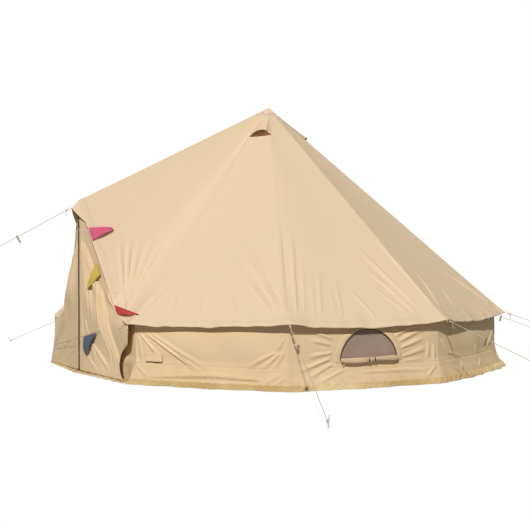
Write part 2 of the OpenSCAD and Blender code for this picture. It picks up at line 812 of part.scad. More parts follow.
// A pennant between two points of its string and its tip, bowed a little along its length
pennant_rows = 5;
pennant_bow = 9;
pennant_tip_width = 0.06;
module pennant(a, b, tip) {
    middle = (a + b) / 2;
    out = unit(cross(tip - middle, a - b));
    grid = [for (i = [0:pennant_rows])
        let (f = i / pennant_rows, share = lerp(1, pennant_tip_width, f), centre = lerp(middle, tip, f))
        [for (j = [0:2]) centre + (a - b) * share * (j / 2 - 0.5) + out * pennant_bow * sin(180 * f)]];
    moved_sheet(grid, out * -pennant_t);
}

// Directions on the roof beside the door leg, and the pennants' places
roof_out = unit(cross(door_top - apex, flare_point - apex));
roof_away = unit(cross(leg_axis, roof_out));
pennant_off = string_off + string_d / 2 + 4;
function off_string(t) = leg_line(t) + roof_out * pennant_off + roof_away * 6;
function off_edge(s) = door_edge(s) + door_out * pennant_off + roof_out * 6;
function before_door(x, z, off) = door_plane(x, z) + door_out * off;
function off_leg(t) = let (p = leg_line(t)) before_door(p[0] - 26, p[2], 18);
pink_length = 230;
pink_a = off_string(0.155);
pink_b = off_string(0.235);
pink_tip = (pink_a + pink_b) / 2 + roof_away * pink_length + roof_out * 10;
red_a = off_edge(0.62);
red_b = off_edge(0.74);
red_tip = eave_corner(0) + [19, 101, 95];
yellow_a = off_leg(0.43);
yellow_b = off_leg(0.36);
yellow_tip = before_door(yellow_a[0] - 0.214 * door_half_width, yellow_a[2] - 0.09 * door_height, 40);
function on_flap(across, up) = before_door(across * door_half_width, up * door_height, 42);
blue_a = on_flap(0.386, 0.248);
blue_b = on_flap(0.167, 0.218);
blue_tip = on_flap(0.195, 0.115);

module pennant_pink() {
    color([0.86, 0.36, 0.46]) pennant(pink_a, pink_b, pink_tip);
}

module pennant_red() {
    color([0.80, 0.27, 0.25]) pennant(red_a, red_b, red_tip);
}

module pennant_yellow() {
    color([0.90, 0.78, 0.38]) pennant(yellow_a, yellow_b, yellow_tip);
}

module pennant_blue() {
    color([0.36, 0.40, 0.48]) pennant(blue_a, blue_b, blue_tip);
}

groundsheet();
centre_pole_lower();
centre_pole_upper();
centre_pole_plug();
a_frame_leg(-1);  // a_frame_leg_left
a_frame_leg(1);  // a_frame_leg_right
a_frame_crown();
pole_feet();
apex_cap();
for (k = [1:PANELS])
    roof_gore(k);
roof_door_gore(-1);  // roof_door_gore_left
roof_door_gore(1);  // roof_door_gore_right
vent_hoods();
insect_meshes();
for (k = [1:PANELS])
    wall_panel(k);
door_return(-1);  // door_return_left
door_return(1);  // door_return_right
skirt_band();
mud_flap();
window_rolls();
door_head();
door_hood();
door_flap(-1);  // door_flap_left
door_flap(1);  // door_flap_right
door_zip();
zip_slider();
cable_port_flap();
eave_rings();
guy_ropes();
guy_pegs();
for (g = [1:GUYS])
    guy_runner(g);
bunting_string();
pennant_pink();
pennant_yellow();
pennant_red();
pennant_blue();
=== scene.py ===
import bpy
import numpy as np
from mathutils import Matrix


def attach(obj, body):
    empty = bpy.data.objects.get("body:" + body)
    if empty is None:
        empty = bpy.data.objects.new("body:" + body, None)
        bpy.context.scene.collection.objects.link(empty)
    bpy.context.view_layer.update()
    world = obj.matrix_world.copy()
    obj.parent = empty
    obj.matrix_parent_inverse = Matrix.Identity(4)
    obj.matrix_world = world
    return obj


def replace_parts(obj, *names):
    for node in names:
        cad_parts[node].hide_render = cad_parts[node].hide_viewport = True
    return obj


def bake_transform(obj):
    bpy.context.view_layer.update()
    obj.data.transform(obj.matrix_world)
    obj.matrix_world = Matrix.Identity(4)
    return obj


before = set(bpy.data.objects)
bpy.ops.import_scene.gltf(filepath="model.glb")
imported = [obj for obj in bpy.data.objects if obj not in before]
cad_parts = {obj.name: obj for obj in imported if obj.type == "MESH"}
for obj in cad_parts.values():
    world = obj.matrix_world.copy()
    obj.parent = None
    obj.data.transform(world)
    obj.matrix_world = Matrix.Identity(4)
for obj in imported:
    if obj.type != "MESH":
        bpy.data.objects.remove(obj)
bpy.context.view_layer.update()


# The view: from the front right, about ten metres off and a little over a metre up.
# The place and the focal length bring the tent's corners to where the photograph has them.
PHOTO_WIDTH = 530
FOCAL_PIXELS = 809.35
FILM_WIDTH = 36.0
VIEW_FROM = np.array([8.086, -5.290, 1.062])
VIEW_TURN = np.radians(57.098)
VIEW_RISE = 0.00853
VIEW_ROLL = -0.0044


def unit(vectors):
    """Vectors scaled to length one."""
    return vectors / np.linalg.norm(vectors, axis=-1, keepdims=True)


view_ahead = np.array([
    -np.sin(VIEW_TURN) * np.cos(VIEW_RISE), np.cos(VIEW_TURN) * np.cos(VIEW_RISE), np.sin(VIEW_RISE)])
view_level = unit(np.cross(view_ahead, [0, 0, 1]))
view_rise = np.cross(view_level, view_ahead)
view_right = view_level * np.cos(VIEW_ROLL) + view_rise * np.sin(VIEW_ROLL)
view_up = view_rise * np.cos(VIEW_ROLL) - view_level * np.sin(VIEW_ROLL)

camera = bpy.data.objects.new("camera", bpy.data.cameras.new("camera"))
camera.data.sensor_fit = "HORIZONTAL"
camera.data.sensor_width = FILM_WIDTH
camera.data.lens = FOCAL_PIXELS / PHOTO_WIDTH * FILM_WIDTH
view_axes = Matrix(np.stack([view_right, view_up, -view_ahead], axis=1).tolist())
camera.matrix_world = Matrix.LocRotScale(VIEW_FROM.tolist(), view_axes.to_quaternion(), None)
bpy.context.scene.collection.objects.link(camera)
bpy.context.scene.camera = camera


# Guy ropes: three-strand white cord, six millimetres thick, one from each eave corner and one from the door's
# hood. Each is tied to its steel ring with a coiled knot that leaves a hooked tail, and looped over a peg.
# A short loop of thinner cord, sewn to the canvas, holds the ring.
APEX = np.array([0.0, 0.0, 2.985])
EAVE_RADIUS = 2.690
EAVE_HEIGHT = 0.577
DOOR_CORNER_RADIUS = 2.500
DOOR_CORNER_HEIGHT = 0.545
DOOR_CORNER_ANGLE = 25.0
SIDE_CORNER_ANGLE = 60.5
PANELS = 9
CANVAS_THICKNESS = 0.003
DOOR_TOP = np.array([0.0, -2.357, 1.777])
HOOD_TIP = DOOR_TOP + [0, -0.075, -0.081]
RING_RADIUS = 0.015
RING_WIRE = 0.004
ROPE_DIAMETER = 0.006
PEG_RADIUS = 4.300
FRONT_PEG_RADIUS = 5.400
PEG_VEER = 1.5
PEG_DIAMETER = 0.009
PEG_CATCH = 0.034
ROPE_WHITE = (0.66, 0.60, 0.48)
RING_GAP = 0.002
ROPE_LAY = 0.034
ROPE_STEP = 0.006
LOBE_DEPTH = 0.2
KNOT_CORD = 0.0027
COIL_TURNS = 4
COIL_PITCH = 0.0052
COIL_RADIUS = 0.0056
RING_LOOP_CORD = 0.0022
RING_KNOT = 0.012
PEG_KNOT = 0.016
TAIL_FROM = 0.03
TAIL_CORD = 0.0028
TAIL_DROP = 0.04
TAIL_CURL = 0.017


def polar(radius, angle, height):
    """Points at a radius round the centre pole, an angle in degrees right of the door, and a height."""
    turn = np.radians(angle)
    return np.stack(np.broadcast_arrays(radius * np.sin(turn), -radius * np.cos(turn), height), axis=-1)


corner_angles = np.concatenate([
    [DOOR_CORNER_ANGLE], np.linspace(SIDE_CORNER_ANGLE, 360 - SIDE_CORNER_ANGLE, PANELS - 1),
    [360 - DOOR_CORNER_ANGLE]])
corner_radii = np.array([DOOR_CORNER_RADIUS] + [EAVE_RADIUS] * (PANELS - 1) + [DOOR_CORNER_RADIUS])
corner_heights = np.array([DOOR_CORNER_HEIGHT] + [EAVE_HEIGHT] * (PANELS - 1) + [DOOR_CORNER_HEIGHT])
eave_corners = polar(corner_radii, corner_angles, corner_heights)
ROOF_DROP = CANVAS_THICKNESS * np.hypot(1, (APEX[2] - EAVE_HEIGHT) / EAVE_RADIUS)


def run_along(line):
    """Distance along a line of points, from 0 at its start."""
    return np.concatenate([[0], np.cumsum(np.linalg.norm(np.diff(line, axis=0), axis=1))])


def close_ends(grid, path):
    """A grid round a path, with one more row at each end drawn together at the path's own end."""
    first, last = (np.repeat(path[[row]][:, None], grid.shape[1], axis=1) for row in (0, -1))
    return np.concatenate([first, grid, last])


def tube(path, radius, side, sides=8, strands=0, capped=True):
    """A round profile carried along a path: rows follow the path and columns go round it.
    side points across the path; strands are lobes of the profile that turn once round it in each lay."""
    way = unit(np.gradient(path, axis=0))
    across = unit(side - np.sum(side * way, axis=-1, keepdims=True) * way)
    beside = np.cross(way, across)
    turn = -2 * np.pi * np.arange(sides) / sides
    twist = turn + 2 * np.pi * run_along(path)[:, None] / ROPE_LAY
    lobe = 1 - LOBE_DEPTH * (strands > 0) * np.abs(np.sin(strands / 2 * twist))
    round_it = np.cos(turn)[:, None] * across[:, None] + np.sin(turn)[:, None] * beside[:, None]
    grid = path[:, None] + (np.reshape(radius, (-1, 1)) * lobe)[..., None] * round_it
    return close_ends(grid, path) if capped else grid


def sew(name, grids, material, body, closed=False, keep=None, layers=None):
    """One piece from one or more grids of points, each (rows, columns, 3).
    Rows run down and columns to the right as seen from outside, so a face's corners go down, right and up.
    closed joins each row's end to its start, keep marks the faces that stay, and layers are values on the
    points, the same on each grid. The UV map counts metres along the middle row and the middle column."""
    faces, places, first = [], [], 0
    for grid in grids:
        rows, columns = grid.shape[:2]
        looped = np.concatenate([grid, grid[:, :1]], axis=1) if closed else grid
        i, j = np.meshgrid(np.arange(rows - 1), np.arange(looped.shape[1] - 1), indexing="ij")
        corner_rows = np.stack([i, i + 1, i + 1, i], axis=-1)
        corner_columns = np.stack([j, j, j + 1, j + 1], axis=-1)
        u = run_along(looped[rows // 2])[corner_columns]
        v = -run_along(looped[:, columns // 2])[corner_rows]
        faces.append((first + corner_rows * columns + corner_columns % columns).reshape(-1, 4))
        places.append(np.stack([u, v], axis=-1).reshape(-1, 4, 2))
        first += rows * columns
    kept = slice(None) if keep is None else keep.ravel()
    faces = np.concatenate(faces)[kept]
    mesh = bpy.data.meshes.new(name)
    mesh.from_pydata(np.concatenate([grid.reshape(-1, 3) for grid in grids]).tolist(), [], faces.tolist())
    mesh.uv_layers.new(name="metres").data.foreach_set("uv", np.concatenate(places)[kept].ravel())
    for layer, values in (layers or {}).items():
        spread = np.concatenate([np.broadcast_to(values, grid.shape[:2]).ravel() for grid in grids])
        mesh.attributes.new(layer, "FLOAT", "POINT").data.foreach_set("value", spread.astype(np.float32))
    mesh.polygons.foreach_set("use_smooth", np.ones(len(faces), dtype=bool))
    mesh.materials.append(material)
    piece = bpy.data.objects.new(name, mesh)
    bpy.context.scene.collection.objects.link(piece)
    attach(piece, body)
    return piece


def feed(tree, made, inputs):
    """Each named input of a node is linked from another node's output, or set to a value."""
    for name, value in inputs.items():
        if isinstance(value, bpy.types.NodeSocket):
            tree.links.new(value, made.inputs[name])
        else:
            made.inputs[name].default_value = value


def node(tree, kind, inputs=None, **settings):
    """One shader node with its settings and inputs; the answer is its outputs."""
    made = tree.nodes.new("ShaderNode" + kind)
    for name, value in settings.items():
        setattr(made, name, value)
    feed(tree, made, inputs or {})
    return made.outputs


def math(tree, operation, *values):
    """The result of one sum on values or outputs."""
    return node(tree, "Math", dict(enumerate(values)), operation=operation)[0]


def noise(tree, place, scale, detail=2.0):
    """Cloudy values that change over a length of about one over the scale."""
    return node(tree, "TexNoise", {"Vector": place, "Scale": scale, "Detail": detail})[0]


def mix(tree, share, low, high):
    """A colour between two others, by a share."""
    return node(tree, "Mix", {0: share, 6: low, 7: high}, data_type="RGBA")[2]


def bump(tree, height, strength, distance):
    """The surface's direction, tilted by a height."""
    return node(tree, "Bump", {"Height": height, "Strength": strength, "Distance": distance})[0]


def blank_material(name):
    """A material with a Principled shader, its node tree and the shader."""
    material = bpy.data.materials.new(name)
    material.use_nodes = True
    return material, material.node_tree, material.node_tree.nodes["Principled BSDF"]


def shade(colour, factor=1.0):
    """A colour made lighter or darker, as the shader's four numbers."""
    return tuple(channel * factor for channel in colour[:3]) + (1.0,)


def rope_material(name, colour):
    """Twisted fibres: slanting light and dark bands across the strands, with a matching bump."""
    material, tree, shader = blank_material(name)
    place = node(tree, "TexCoord")["UV"]
    turned = node(tree, "Mapping", {"Vector": place, "Rotation": (0, 0, 0.6)})[0]
    fibres = node(tree, "TexWave", {"Vector": turned, "Scale": 130.0, "Distortion": 2.0, "Detail": 2.0})[1]
    fuzz = math(tree, "MULTIPLY", noise(tree, place, 90.0), 0.4)
    tone = math(tree, "MULTIPLY_ADD", fibres, 0.6, fuzz)
    feed(tree, shader, {
        "Base Color": mix(tree, tone, shade(colour, 0.72), shade(colour, 1.05)),
        "Normal": bump(tree, tone, 0.5, 0.0006), "Roughness": 0.85})
    return material


guy_angles = np.append(corner_angles[1:PANELS], 0)
guy_outs = polar(1.0, guy_angles, 0)
guy_rings = np.concatenate([eave_corners[1:PANELS], [HOOD_TIP]])
guy_rings = guy_rings + guy_outs * (RING_RADIUS + RING_WIRE / 2 + RING_GAP) - [0, 0, ROOF_DROP / 2]
peg_angles = guy_angles + np.array([PEG_VEER] + [0] * (PANELS - 3) + [-PEG_VEER, 0])
peg_catches = polar(np.array([PEG_RADIUS] * (PANELS - 1) + [FRONT_PEG_RADIUS]), peg_angles, PEG_CATCH)
rope_ways = unit(peg_catches - guy_rings)
rope_sides = unit(np.cross([0, 0, 1], rope_ways))
rope_starts = guy_rings + rope_ways * (RING_RADIUS + RING_WIRE / 2 + 0.0005)
rope_ends = peg_catches - rope_ways * (PEG_DIAMETER / 2 + 0.0025)

white_rope = rope_material("guy_rope", ROPE_WHITE)
wind_turn = np.linspace(0, 2 * np.pi * COIL_TURNS, 60)[:, None]
loop_turn = np.linspace(0, 2 * np.pi, 25)[:, None]
curl_turn = np.linspace(0.25, np.pi * 0.95, 10)[:, None]
knot_grids = []
for number in range(PANELS):
    way, side, start, end = rope_ways[number], rope_sides[number], rope_starts[number], rope_ends[number]
    length = np.linalg.norm(end - start)
    path = start + (end - start) * np.linspace(0, 1, int(length / ROPE_STEP))[:, None]
    rope = sew(f"guy_rope_{number + 1}", [tube(path, ROPE_DIAMETER / 2, side, 9, 3)], white_rope,
               "tent", closed=True)
    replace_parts(rope, "guy_ropes")
    over = np.cross(side, way)
    winding = np.cos(wind_turn) * side + np.sin(wind_turn) * over
    for knot, towards in ((start + way * RING_KNOT, way), (end - way * PEG_KNOT, -way)):
        coil = knot + towards * COIL_PITCH * wind_turn / (2 * np.pi) + winding * COIL_RADIUS
        loop = knot - towards * (0.008 + 0.012 * np.cos(loop_turn)) + side * 0.0065 * np.sin(loop_turn)
        knot_grids += [tube(coil, KNOT_CORD, winding), tube(loop, KNOT_CORD, over, capped=False)]
    ring_loop = guy_rings[number] - guy_outs[number] * (RING_RADIUS + 0.009 + 0.014 * np.cos(loop_turn))
    ring_loop = ring_loop + side * 0.005 * np.sin(loop_turn)
    tail_start = start + way * TAIL_FROM + side * 0.005
    drop = tail_start - np.array([0, 0, TAIL_DROP]) * np.linspace(0, 1, 6)[:, None]
    curl = drop[-1] + TAIL_CURL * (side * (1 - np.cos(curl_turn)) - np.array([0, 0, 1.0]) * np.sin(curl_turn))
    knot_grids += [tube(ring_loop, RING_LOOP_CORD, [[0, 0, 1.0]], capped=False),
                   tube(np.concatenate([drop, curl]), TAIL_CORD, over, strands=3)]
sew("guy_knots", knot_grids, white_rope, "tent", closed=True)


# Rings and pegs: bent galvanised steel wire and rod, dull grey with the flakes that a zinc bath leaves.
# The rings hang in their loops at the eave corners and at the hood, and the pegs are driven into the ground.
ZINC_GREY = (0.56, 0.57, 0.58)


def new_group(name, inputs, outputs):
    """An empty group with named sockets: the group, what it is given, and the node of its results."""
    group = bpy.data.node_groups.new(name, "ShaderNodeTree")
    for sockets, direction in ((inputs, "INPUT"), (outputs, "OUTPUT")):
        for socket, kind in sockets.items():
            group.interface.new_socket(socket, in_out=direction, socket_type="NodeSocket" + kind)
    return group, group.nodes.new("NodeGroupInput").outputs, group.nodes.new("NodeGroupOutput")


def zinc_flakes():
    """A group for zinced steel: pale and dark flakes, and the roughness that goes with them."""
    group, given, result = new_group(
        "zinc_flakes", {"Tone": "Color"}, {"Color": "Color", "Roughness": "Float"})
    place = node(group, "TexCoord")["Object"]
    flakes = node(group, "TexVoronoi", {"Vector": place, "Scale": 260.0})["Distance"]
    stains = noise(group, place, 22.0, 4.0)
    value = math(group, "MULTIPLY_ADD", flakes, 0.25, math(group, "MULTIPLY_ADD", stains, 0.5, 0.62))
    feed(group, result, {
        "Color": node(group, "HueSaturation", {"Color": given["Tone"], "Value": value})[0],
        "Roughness": math(group, "MULTIPLY_ADD", stains, 0.3, 0.25)})
    return group


zinc_group = zinc_flakes()


def steel_material(name, colour):
    """Zinced or drawn steel."""
    material, tree, shader = blank_material(name)
    zinc = node(tree, "Group", {"Tone": shade(colour)}, node_tree=zinc_group)
    feed(tree, shader, {"Base Color": zinc["Color"], "Roughness": zinc["Roughness"], "Metallic": 0.9})
    return material


def dress(names, material):
    """CAD pieces whose shape is right get a finished material."""
    for name in names:
        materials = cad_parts[name].data.materials
        materials.clear()
        materials.append(material)


dress(["eave_rings", "guy_pegs"], steel_material("galvanised_steel", ZINC_GREY))


# Runners: beech slats with two holes, sawn, rounded and oiled, one on each guy rope.
# The rope bends through the holes, which grip it, so that a runner stays where it is slid to.
BEECH = (0.42, 0.27, 0.14)


def wood_material(name, colour):
    """Straight grain along the slat, with small pores."""
    material, tree, shader = blank_material(name)
    place = node(tree, "TexCoord")["Object"]
    drawn_out = node(tree, "Mapping", {"Vector": place, "Scale": (260.0, 260.0, 22.0)})[0]
    grain = noise(tree, drawn_out, 1.0, 5.0)
    feed(tree, shader, {
        "Base Color": mix(tree, grain, shade(colour, 0.55), shade(colour, 1.35)),
        "Normal": bump(tree, grain, 0.3, 0.0005), "Roughness": 0.6})
    return material


dress([f"guy_runner_{number}" for number in range(1, PANELS + 1)], wood_material("runner_wood", BEECH))


# Groundsheet: one sheet of grey woven plastic, laid flat on the ground inside the tent in a few soft ripples.
# Its edge follows the bow of the wall and is tucked under the skirt.
GROUND_GREY = (0.105, 0.110, 0.100)
GROUND_DUST = (0.30, 0.26, 0.20)
GROUNDSHEET_TUCK = 0.075
GROUND_BOW = 0.018
GROUND_HEIGHT = 0.0022
GROUND_RIPPLE = 0.0006
WALL_INSET = 0.105
WALL_SHARE = 1 - WALL_INSET / EAVE_RADIUS


def woven_plastic(name, colour):
    """Coarse flat tapes woven over and under, slightly glossy and dusty."""
    material, tree, shader = blank_material(name)
    place = node(tree, "TexCoord")["Object"]
    checks = node(tree, "TexBrick", {
        "Vector": place, "Scale": 150.0, "Color1": shade(colour, 0.8), "Color2": shade(colour, 1.25),
        "Mortar": shade(colour, 0.5), "Mortar Size": 0.03})
    scuffs = math(tree, "MULTIPLY", noise(tree, place, 3.0, 6.0), 0.3)
    feed(tree, shader, {
        "Base Color": mix(tree, scuffs, checks[0], shade(GROUND_DUST)),
        "Normal": bump(tree, checks[1], 0.25, 0.0004), "Roughness": 0.55})
    return material


def arch(share):
    """A curve that is 0 at both ends of its share and 1 in the middle."""
    return 4 * share * (1 - share)


def chain_at(points, steps):
    """Points at whole and part steps along a chain of points."""
    return np.stack([np.interp(steps, np.arange(len(points)), points[:, axis]) for axis in range(3)], axis=-1)


def thicken(piece, thickness, offset=-1.0):
    """Cloth gets its thickness, on the inside unless told otherwise."""
    solid = piece.modifiers.new("thickness", "SOLIDIFY")
    solid.thickness = thickness
    solid.offset = offset
    return piece


ground_corners = polar(WALL_SHARE * corner_radii + GROUNDSHEET_TUCK, corner_angles, 0)[::-1]
ground_corners = np.concatenate([[[0, DOOR_TOP[1] + 0.03, 0]], ground_corners])
ground_steps = np.arange(0, len(ground_corners), 1 / 12)
ground_rim = chain_at(np.append(ground_corners, ground_corners[:1], axis=0), ground_steps)
ground_side = (ground_steps >= 1) & (ground_steps < PANELS + 1)
ground_rim = ground_rim * (1 + GROUND_BOW * arch(ground_steps % 1) * ground_side)[:, None]
ground_grid = np.linspace(0.01, 1, 40)[:, None, None] * ground_rim[::-1]
ground_x, ground_y = ground_grid[..., 0], ground_grid[..., 1]
ripple = np.sin(7 * ground_x + 2 * np.sin(3 * ground_y)) * np.sin(5 * ground_y)
ground_grid[..., 2] = GROUND_HEIGHT + GROUND_RIPPLE * ripple
groundsheet = sew("groundsheet_sheet", [ground_grid], woven_plastic("groundsheet_weave", GROUND_GREY),
                  "tent", closed=True)
thicken(groundsheet, 0.001)
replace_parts(groundsheet, "groundsheet")


# Poles: galvanised steel tube, the centre pole in two lengths, and an A-frame of two legs in a welded crown.
# The top plug is black plastic and the feet are black rubber.
DRAWN_STEEL = (0.60, 0.61, 0.62)
PLASTIC_BLACK = (0.022, 0.021, 0.020)
RUBBER_BLACK = (0.016, 0.016, 0.016)
MOULD_DUST = (0.20, 0.17, 0.13)


def moulded_material(name, colour, roughness):
    """Moulded plastic or rubber: a fine grain and a little dust in it."""
    material, tree, shader = blank_material(name)
    place = node(tree, "TexCoord")["Object"]
    dust = math(tree, "MULTIPLY", noise(tree, place, 30.0, 4.0), 0.25)
    feed(tree, shader, {
        "Base Color": mix(tree, dust, shade(colour), shade(MOULD_DUST)),
        "Normal": bump(tree, noise(tree, place, 900.0), 0.2, 0.0004), "Roughness": roughness})
    return material


dress(["centre_pole_lower", "centre_pole_upper", "a_frame_leg_left", "a_frame_leg_right", "a_frame_crown"],
      steel_material("pole_steel", DRAWN_STEEL))
dress(["centre_pole_plug"], moulded_material("black_plastic", PLASTIC_BLACK, 0.45))
dress(["pole_feet"], moulded_material("foot_rubber", RUBBER_BLACK, 0.8))


# Roof: one stretched sheet of cream canvas, sewn from nine gores and two narrower ones that run down to the
# door's A-frame. It hangs in a little between the seams, and tension folds run up from the eave corners.
# The hem at the eave is turned over and stitched, and four half-moon vents are cut near the top.
CANVAS_CREAM = (0.830, 0.640, 0.440)
CANVAS_SHADE = (0.815, 0.634, 0.430)
ROOF_SAG = 0.014
EAVE_DROOP = 0.042
DROOP_FROM = 0.86
DOOR_GORE_SAG = 0.006
LEG_FOOT = np.array([1.050, -2.145, 0.0])
FLARE_FROM = 0.584
EDGE_BEND = 0.6
GORE_COLUMNS = (120, 120, 90) + (36,) * 6
DOOR_GORE_COLUMNS = (110, 60)
VENT_PANELS = (0, 3, 5, 8)
VENT_SHARE = 0.138
VENT_WIDTH = 0.150
VENT_RISE = 0.062
HEM_WIDTH = 0.075
SEAM_ROUNDING = 500
ROUNDED_COLUMNS = (20, 40, 270, 330)
ROUNDED_SHARES = (0.18, 0.43, 0.85, 0.97)
FOLD_LIFE = (0, 0.15, 0.55, 1)
FOLD_START = 0.4
FOLD_REACH = 0.2
HEM_STITCH = 0.018
VENT_MARGIN = 0.004
DOOR_EDGE_LENGTH = 2.2
ROOF_FOLD_DEPTH = 1.5
ROOF_DRIFT = 0.0025
HEM_RIPPLE = 0.006
HEM_STEP = 0.0035
HEM_TURN = 0.003
DIRT_BROWN = (0.36, 0.24, 0.12)
STITCH_ROWS = (0.004, 0.016)
STITCH_PITCH = 0.008
STITCH_LENGTH = 0.72
THREAD_HALF = 0.0012
THREAD_TONE = 0.25
SEAM = ("seam", "along")
HEM = ("hem", "run")


def leg_line(share):
    """Points on the right door leg's line, from the door's top to its foot."""
    return DOOR_TOP + (LEG_FOOT - DOOR_TOP) * np.asarray(share, float)[..., None]


def ramp(values, start, end):
    """0 up to the start and 1 past the end, straight between them; the end may be the lower of the two."""
    return np.clip((values - start) / (end - start), 0, 1)


def plateau(values, start, full, ebb, end):
    """1 between full and ebb, running out straight to 0 at the start and the end."""
    return ramp(values, start, full) * ramp(values, end, ebb)


def door_edge(share):
    """The roof's edge beside the door: down the leg's line, then in one curve out to the eave corner."""
    share = np.asarray(share, float)
    guide = leg_line(0.70) + 0.25 * (eave_corners[0] - leg_line(0.70))
    bent = ramp(share, EDGE_BEND, 1)[..., None]
    curve = (1 - bent) ** 2 * leg_line(FLARE_FROM) + 2 * bent * (1 - bent) * guide
    curve = curve + bent ** 2 * eave_corners[0]
    return np.where((share <= EDGE_BEND)[..., None], leg_line(FLARE_FROM * share / EDGE_BEND), curve)


def mirrored(points):
    """The same points on the other side of the door."""
    return points * np.array([-1.0, 1.0, 1.0])


def to_seam(share):
    """Share of the way across to the nearer seam."""
    return np.minimum(share, 1 - share)


gore_shares = [np.arange(columns) / columns for columns in GORE_COLUMNS]
right_share, left_share = (np.arange(columns) / columns for columns in DOOR_GORE_COLUMNS)
panel_droop = EAVE_DROOP * np.where(np.isin(np.arange(PANELS), (0, PANELS - 1)), 0.5, 1.15)
gore_chords = np.diff(eave_corners, axis=0)
gore_widths = np.linalg.norm(gore_chords, axis=1)
eave_line = np.concatenate(
    [door_edge(right_share)]
    + [eave_corners[k] + gore_chords[k] * gore_shares[k][:, None] for k in range(PANELS)]
    + [mirrored(door_edge(1 - left_share))])
line_sag = np.concatenate(
    [DOOR_GORE_SAG * arch(right_share)] + [ROOF_SAG * arch(share) for share in gore_shares]
    + [DOOR_GORE_SAG * arch(left_share)])
line_droop = np.concatenate(
    [0 * right_share] + [panel_droop[k] * arch(gore_shares[k]) for k in range(PANELS)] + [0 * left_share])
line_seam = np.concatenate(
    [to_seam(right_share) * DOOR_EDGE_LENGTH]
    + [to_seam(gore_shares[k]) * gore_widths[k] for k in range(PANELS)]
    + [to_seam(left_share) * DOOR_EDGE_LENGTH])


def down_slope(edge, share, hang):
    """Points a share of the way from the apex to an edge, let down by the hang."""
    return APEX + share[..., None] * (edge - APEX) - hang[..., None] * [0, 0, 1]


def gore_at(k, across, share):
    """Points on gore k, by their shares of the way across it and down it."""
    across, share = np.broadcast_arrays(np.asarray(across, float), np.asarray(share, float))
    droop = panel_droop[k] * ramp(share, DROOP_FROM, 1) ** 2
    hang = arch(across) * (ROOF_SAG * np.sin(np.pi * share) + droop)
    return down_slope(eave_corners[k] + gore_chords[k] * across[..., None], share, hang)


def door_gore_at(across, share):
    """Points on the right door gore, by their shares along its edge and down it."""
    across, share = np.asarray(across, float), np.asarray(share, float)
    return down_slope(door_edge(across), share, DOOR_GORE_SAG * arch(across) * np.sin(np.pi * share))


def grid_normals(points, closed=False):
    """Outward directions of a grid, from the steps down and to the right."""
    right = np.gradient(points, axis=1)
    if closed:
        right = np.roll(points, -1, axis=1) - np.roll(points, 1, axis=1)
    return unit(np.cross(np.gradient(points, axis=0), right))


def fold(points, normals, start, end, width, depth):
    """How far a soft fold lifts each point: a ridge from start to end with a hollow on each side.
    It is narrow at its start, widens along its length and dies away towards its end.
    Distances are counted along the cloth, so a line drawn a little off it still makes its fold."""
    line = end - start
    share = (points - start) @ line / (line @ line)
    off = points - start - share[..., None] * line
    above = np.sum(off * normals, axis=-1)
    spread = width * (FOLD_START + (1 - FOLD_START) * np.clip(share, 0, 1))
    across = np.linalg.norm(off - above[..., None] * normals, axis=-1) / spread
    rise = plateau(share, *FOLD_LIFE) * (np.abs(above) < FOLD_REACH)
    rise = rise * rise * (3 - 2 * rise)
    return depth * rise * (1 - across ** 2) * np.exp(-across ** 2)


roof_shares = np.concatenate([
    np.linspace(0.012, 0.045, 6, endpoint=False), np.linspace(0.045, 0.165, 36, endpoint=False),
    np.linspace(0.165, 0.86, 50, endpoint=False), np.linspace(0.86, 1, 34)])[:, None]
roof_hang = line_sag * np.sin(np.pi * roof_shares) + line_droop * ramp(roof_shares, DROOP_FROM, 1) ** 2
roof_grid = down_slope(eave_line, roof_shares, roof_hang)

# The seams to the right of the door are rounded, which comes in and goes out over some columns and rows
roof_soft = roof_grid
for turn in range(SEAM_ROUNDING):
    roof_soft = (np.roll(roof_soft, 1, axis=1) + 2 * roof_soft + np.roll(roof_soft, -1, axis=1)) / 4
seam_column = np.arange(len(eave_line))
soft_share = plateau(seam_column, *ROUNDED_COLUMNS) * plateau(roof_shares, *ROUNDED_SHARES)
roof_grid = roof_grid + soft_share[..., None] * (roof_soft - roof_grid)
roof_normals = grid_normals(roof_grid, closed=True)
roof_slope_length = np.linalg.norm(eave_line - APEX, axis=-1)
roof_lines = []

# Folds beside the door fan out from where the roof's edge turns to the corner
for across, share in ((0.31, 0.884), (0.345, 0.836), (0.401, 0.792), (0.487, 0.737), (0.60, 0.70)):
    near, far = door_gore_at(0.80, 0.975), door_gore_at(across, share)
    roof_lines += [(near, far, 0.036, 0.017), (mirrored(near), mirrored(far), 0.045, 0.014)]
for across, share, far_across, far_share in (
        (0.257, 0.994, 0.375, 0.962), (0.331, 0.986, 0.433, 0.95), (0.47, 0.985, 0.56, 0.94),
        (0.56, 0.99, 0.62, 0.94)):
    roof_lines.append((door_gore_at(across, share), door_gore_at(far_across, far_share), 0.024, 0.010))

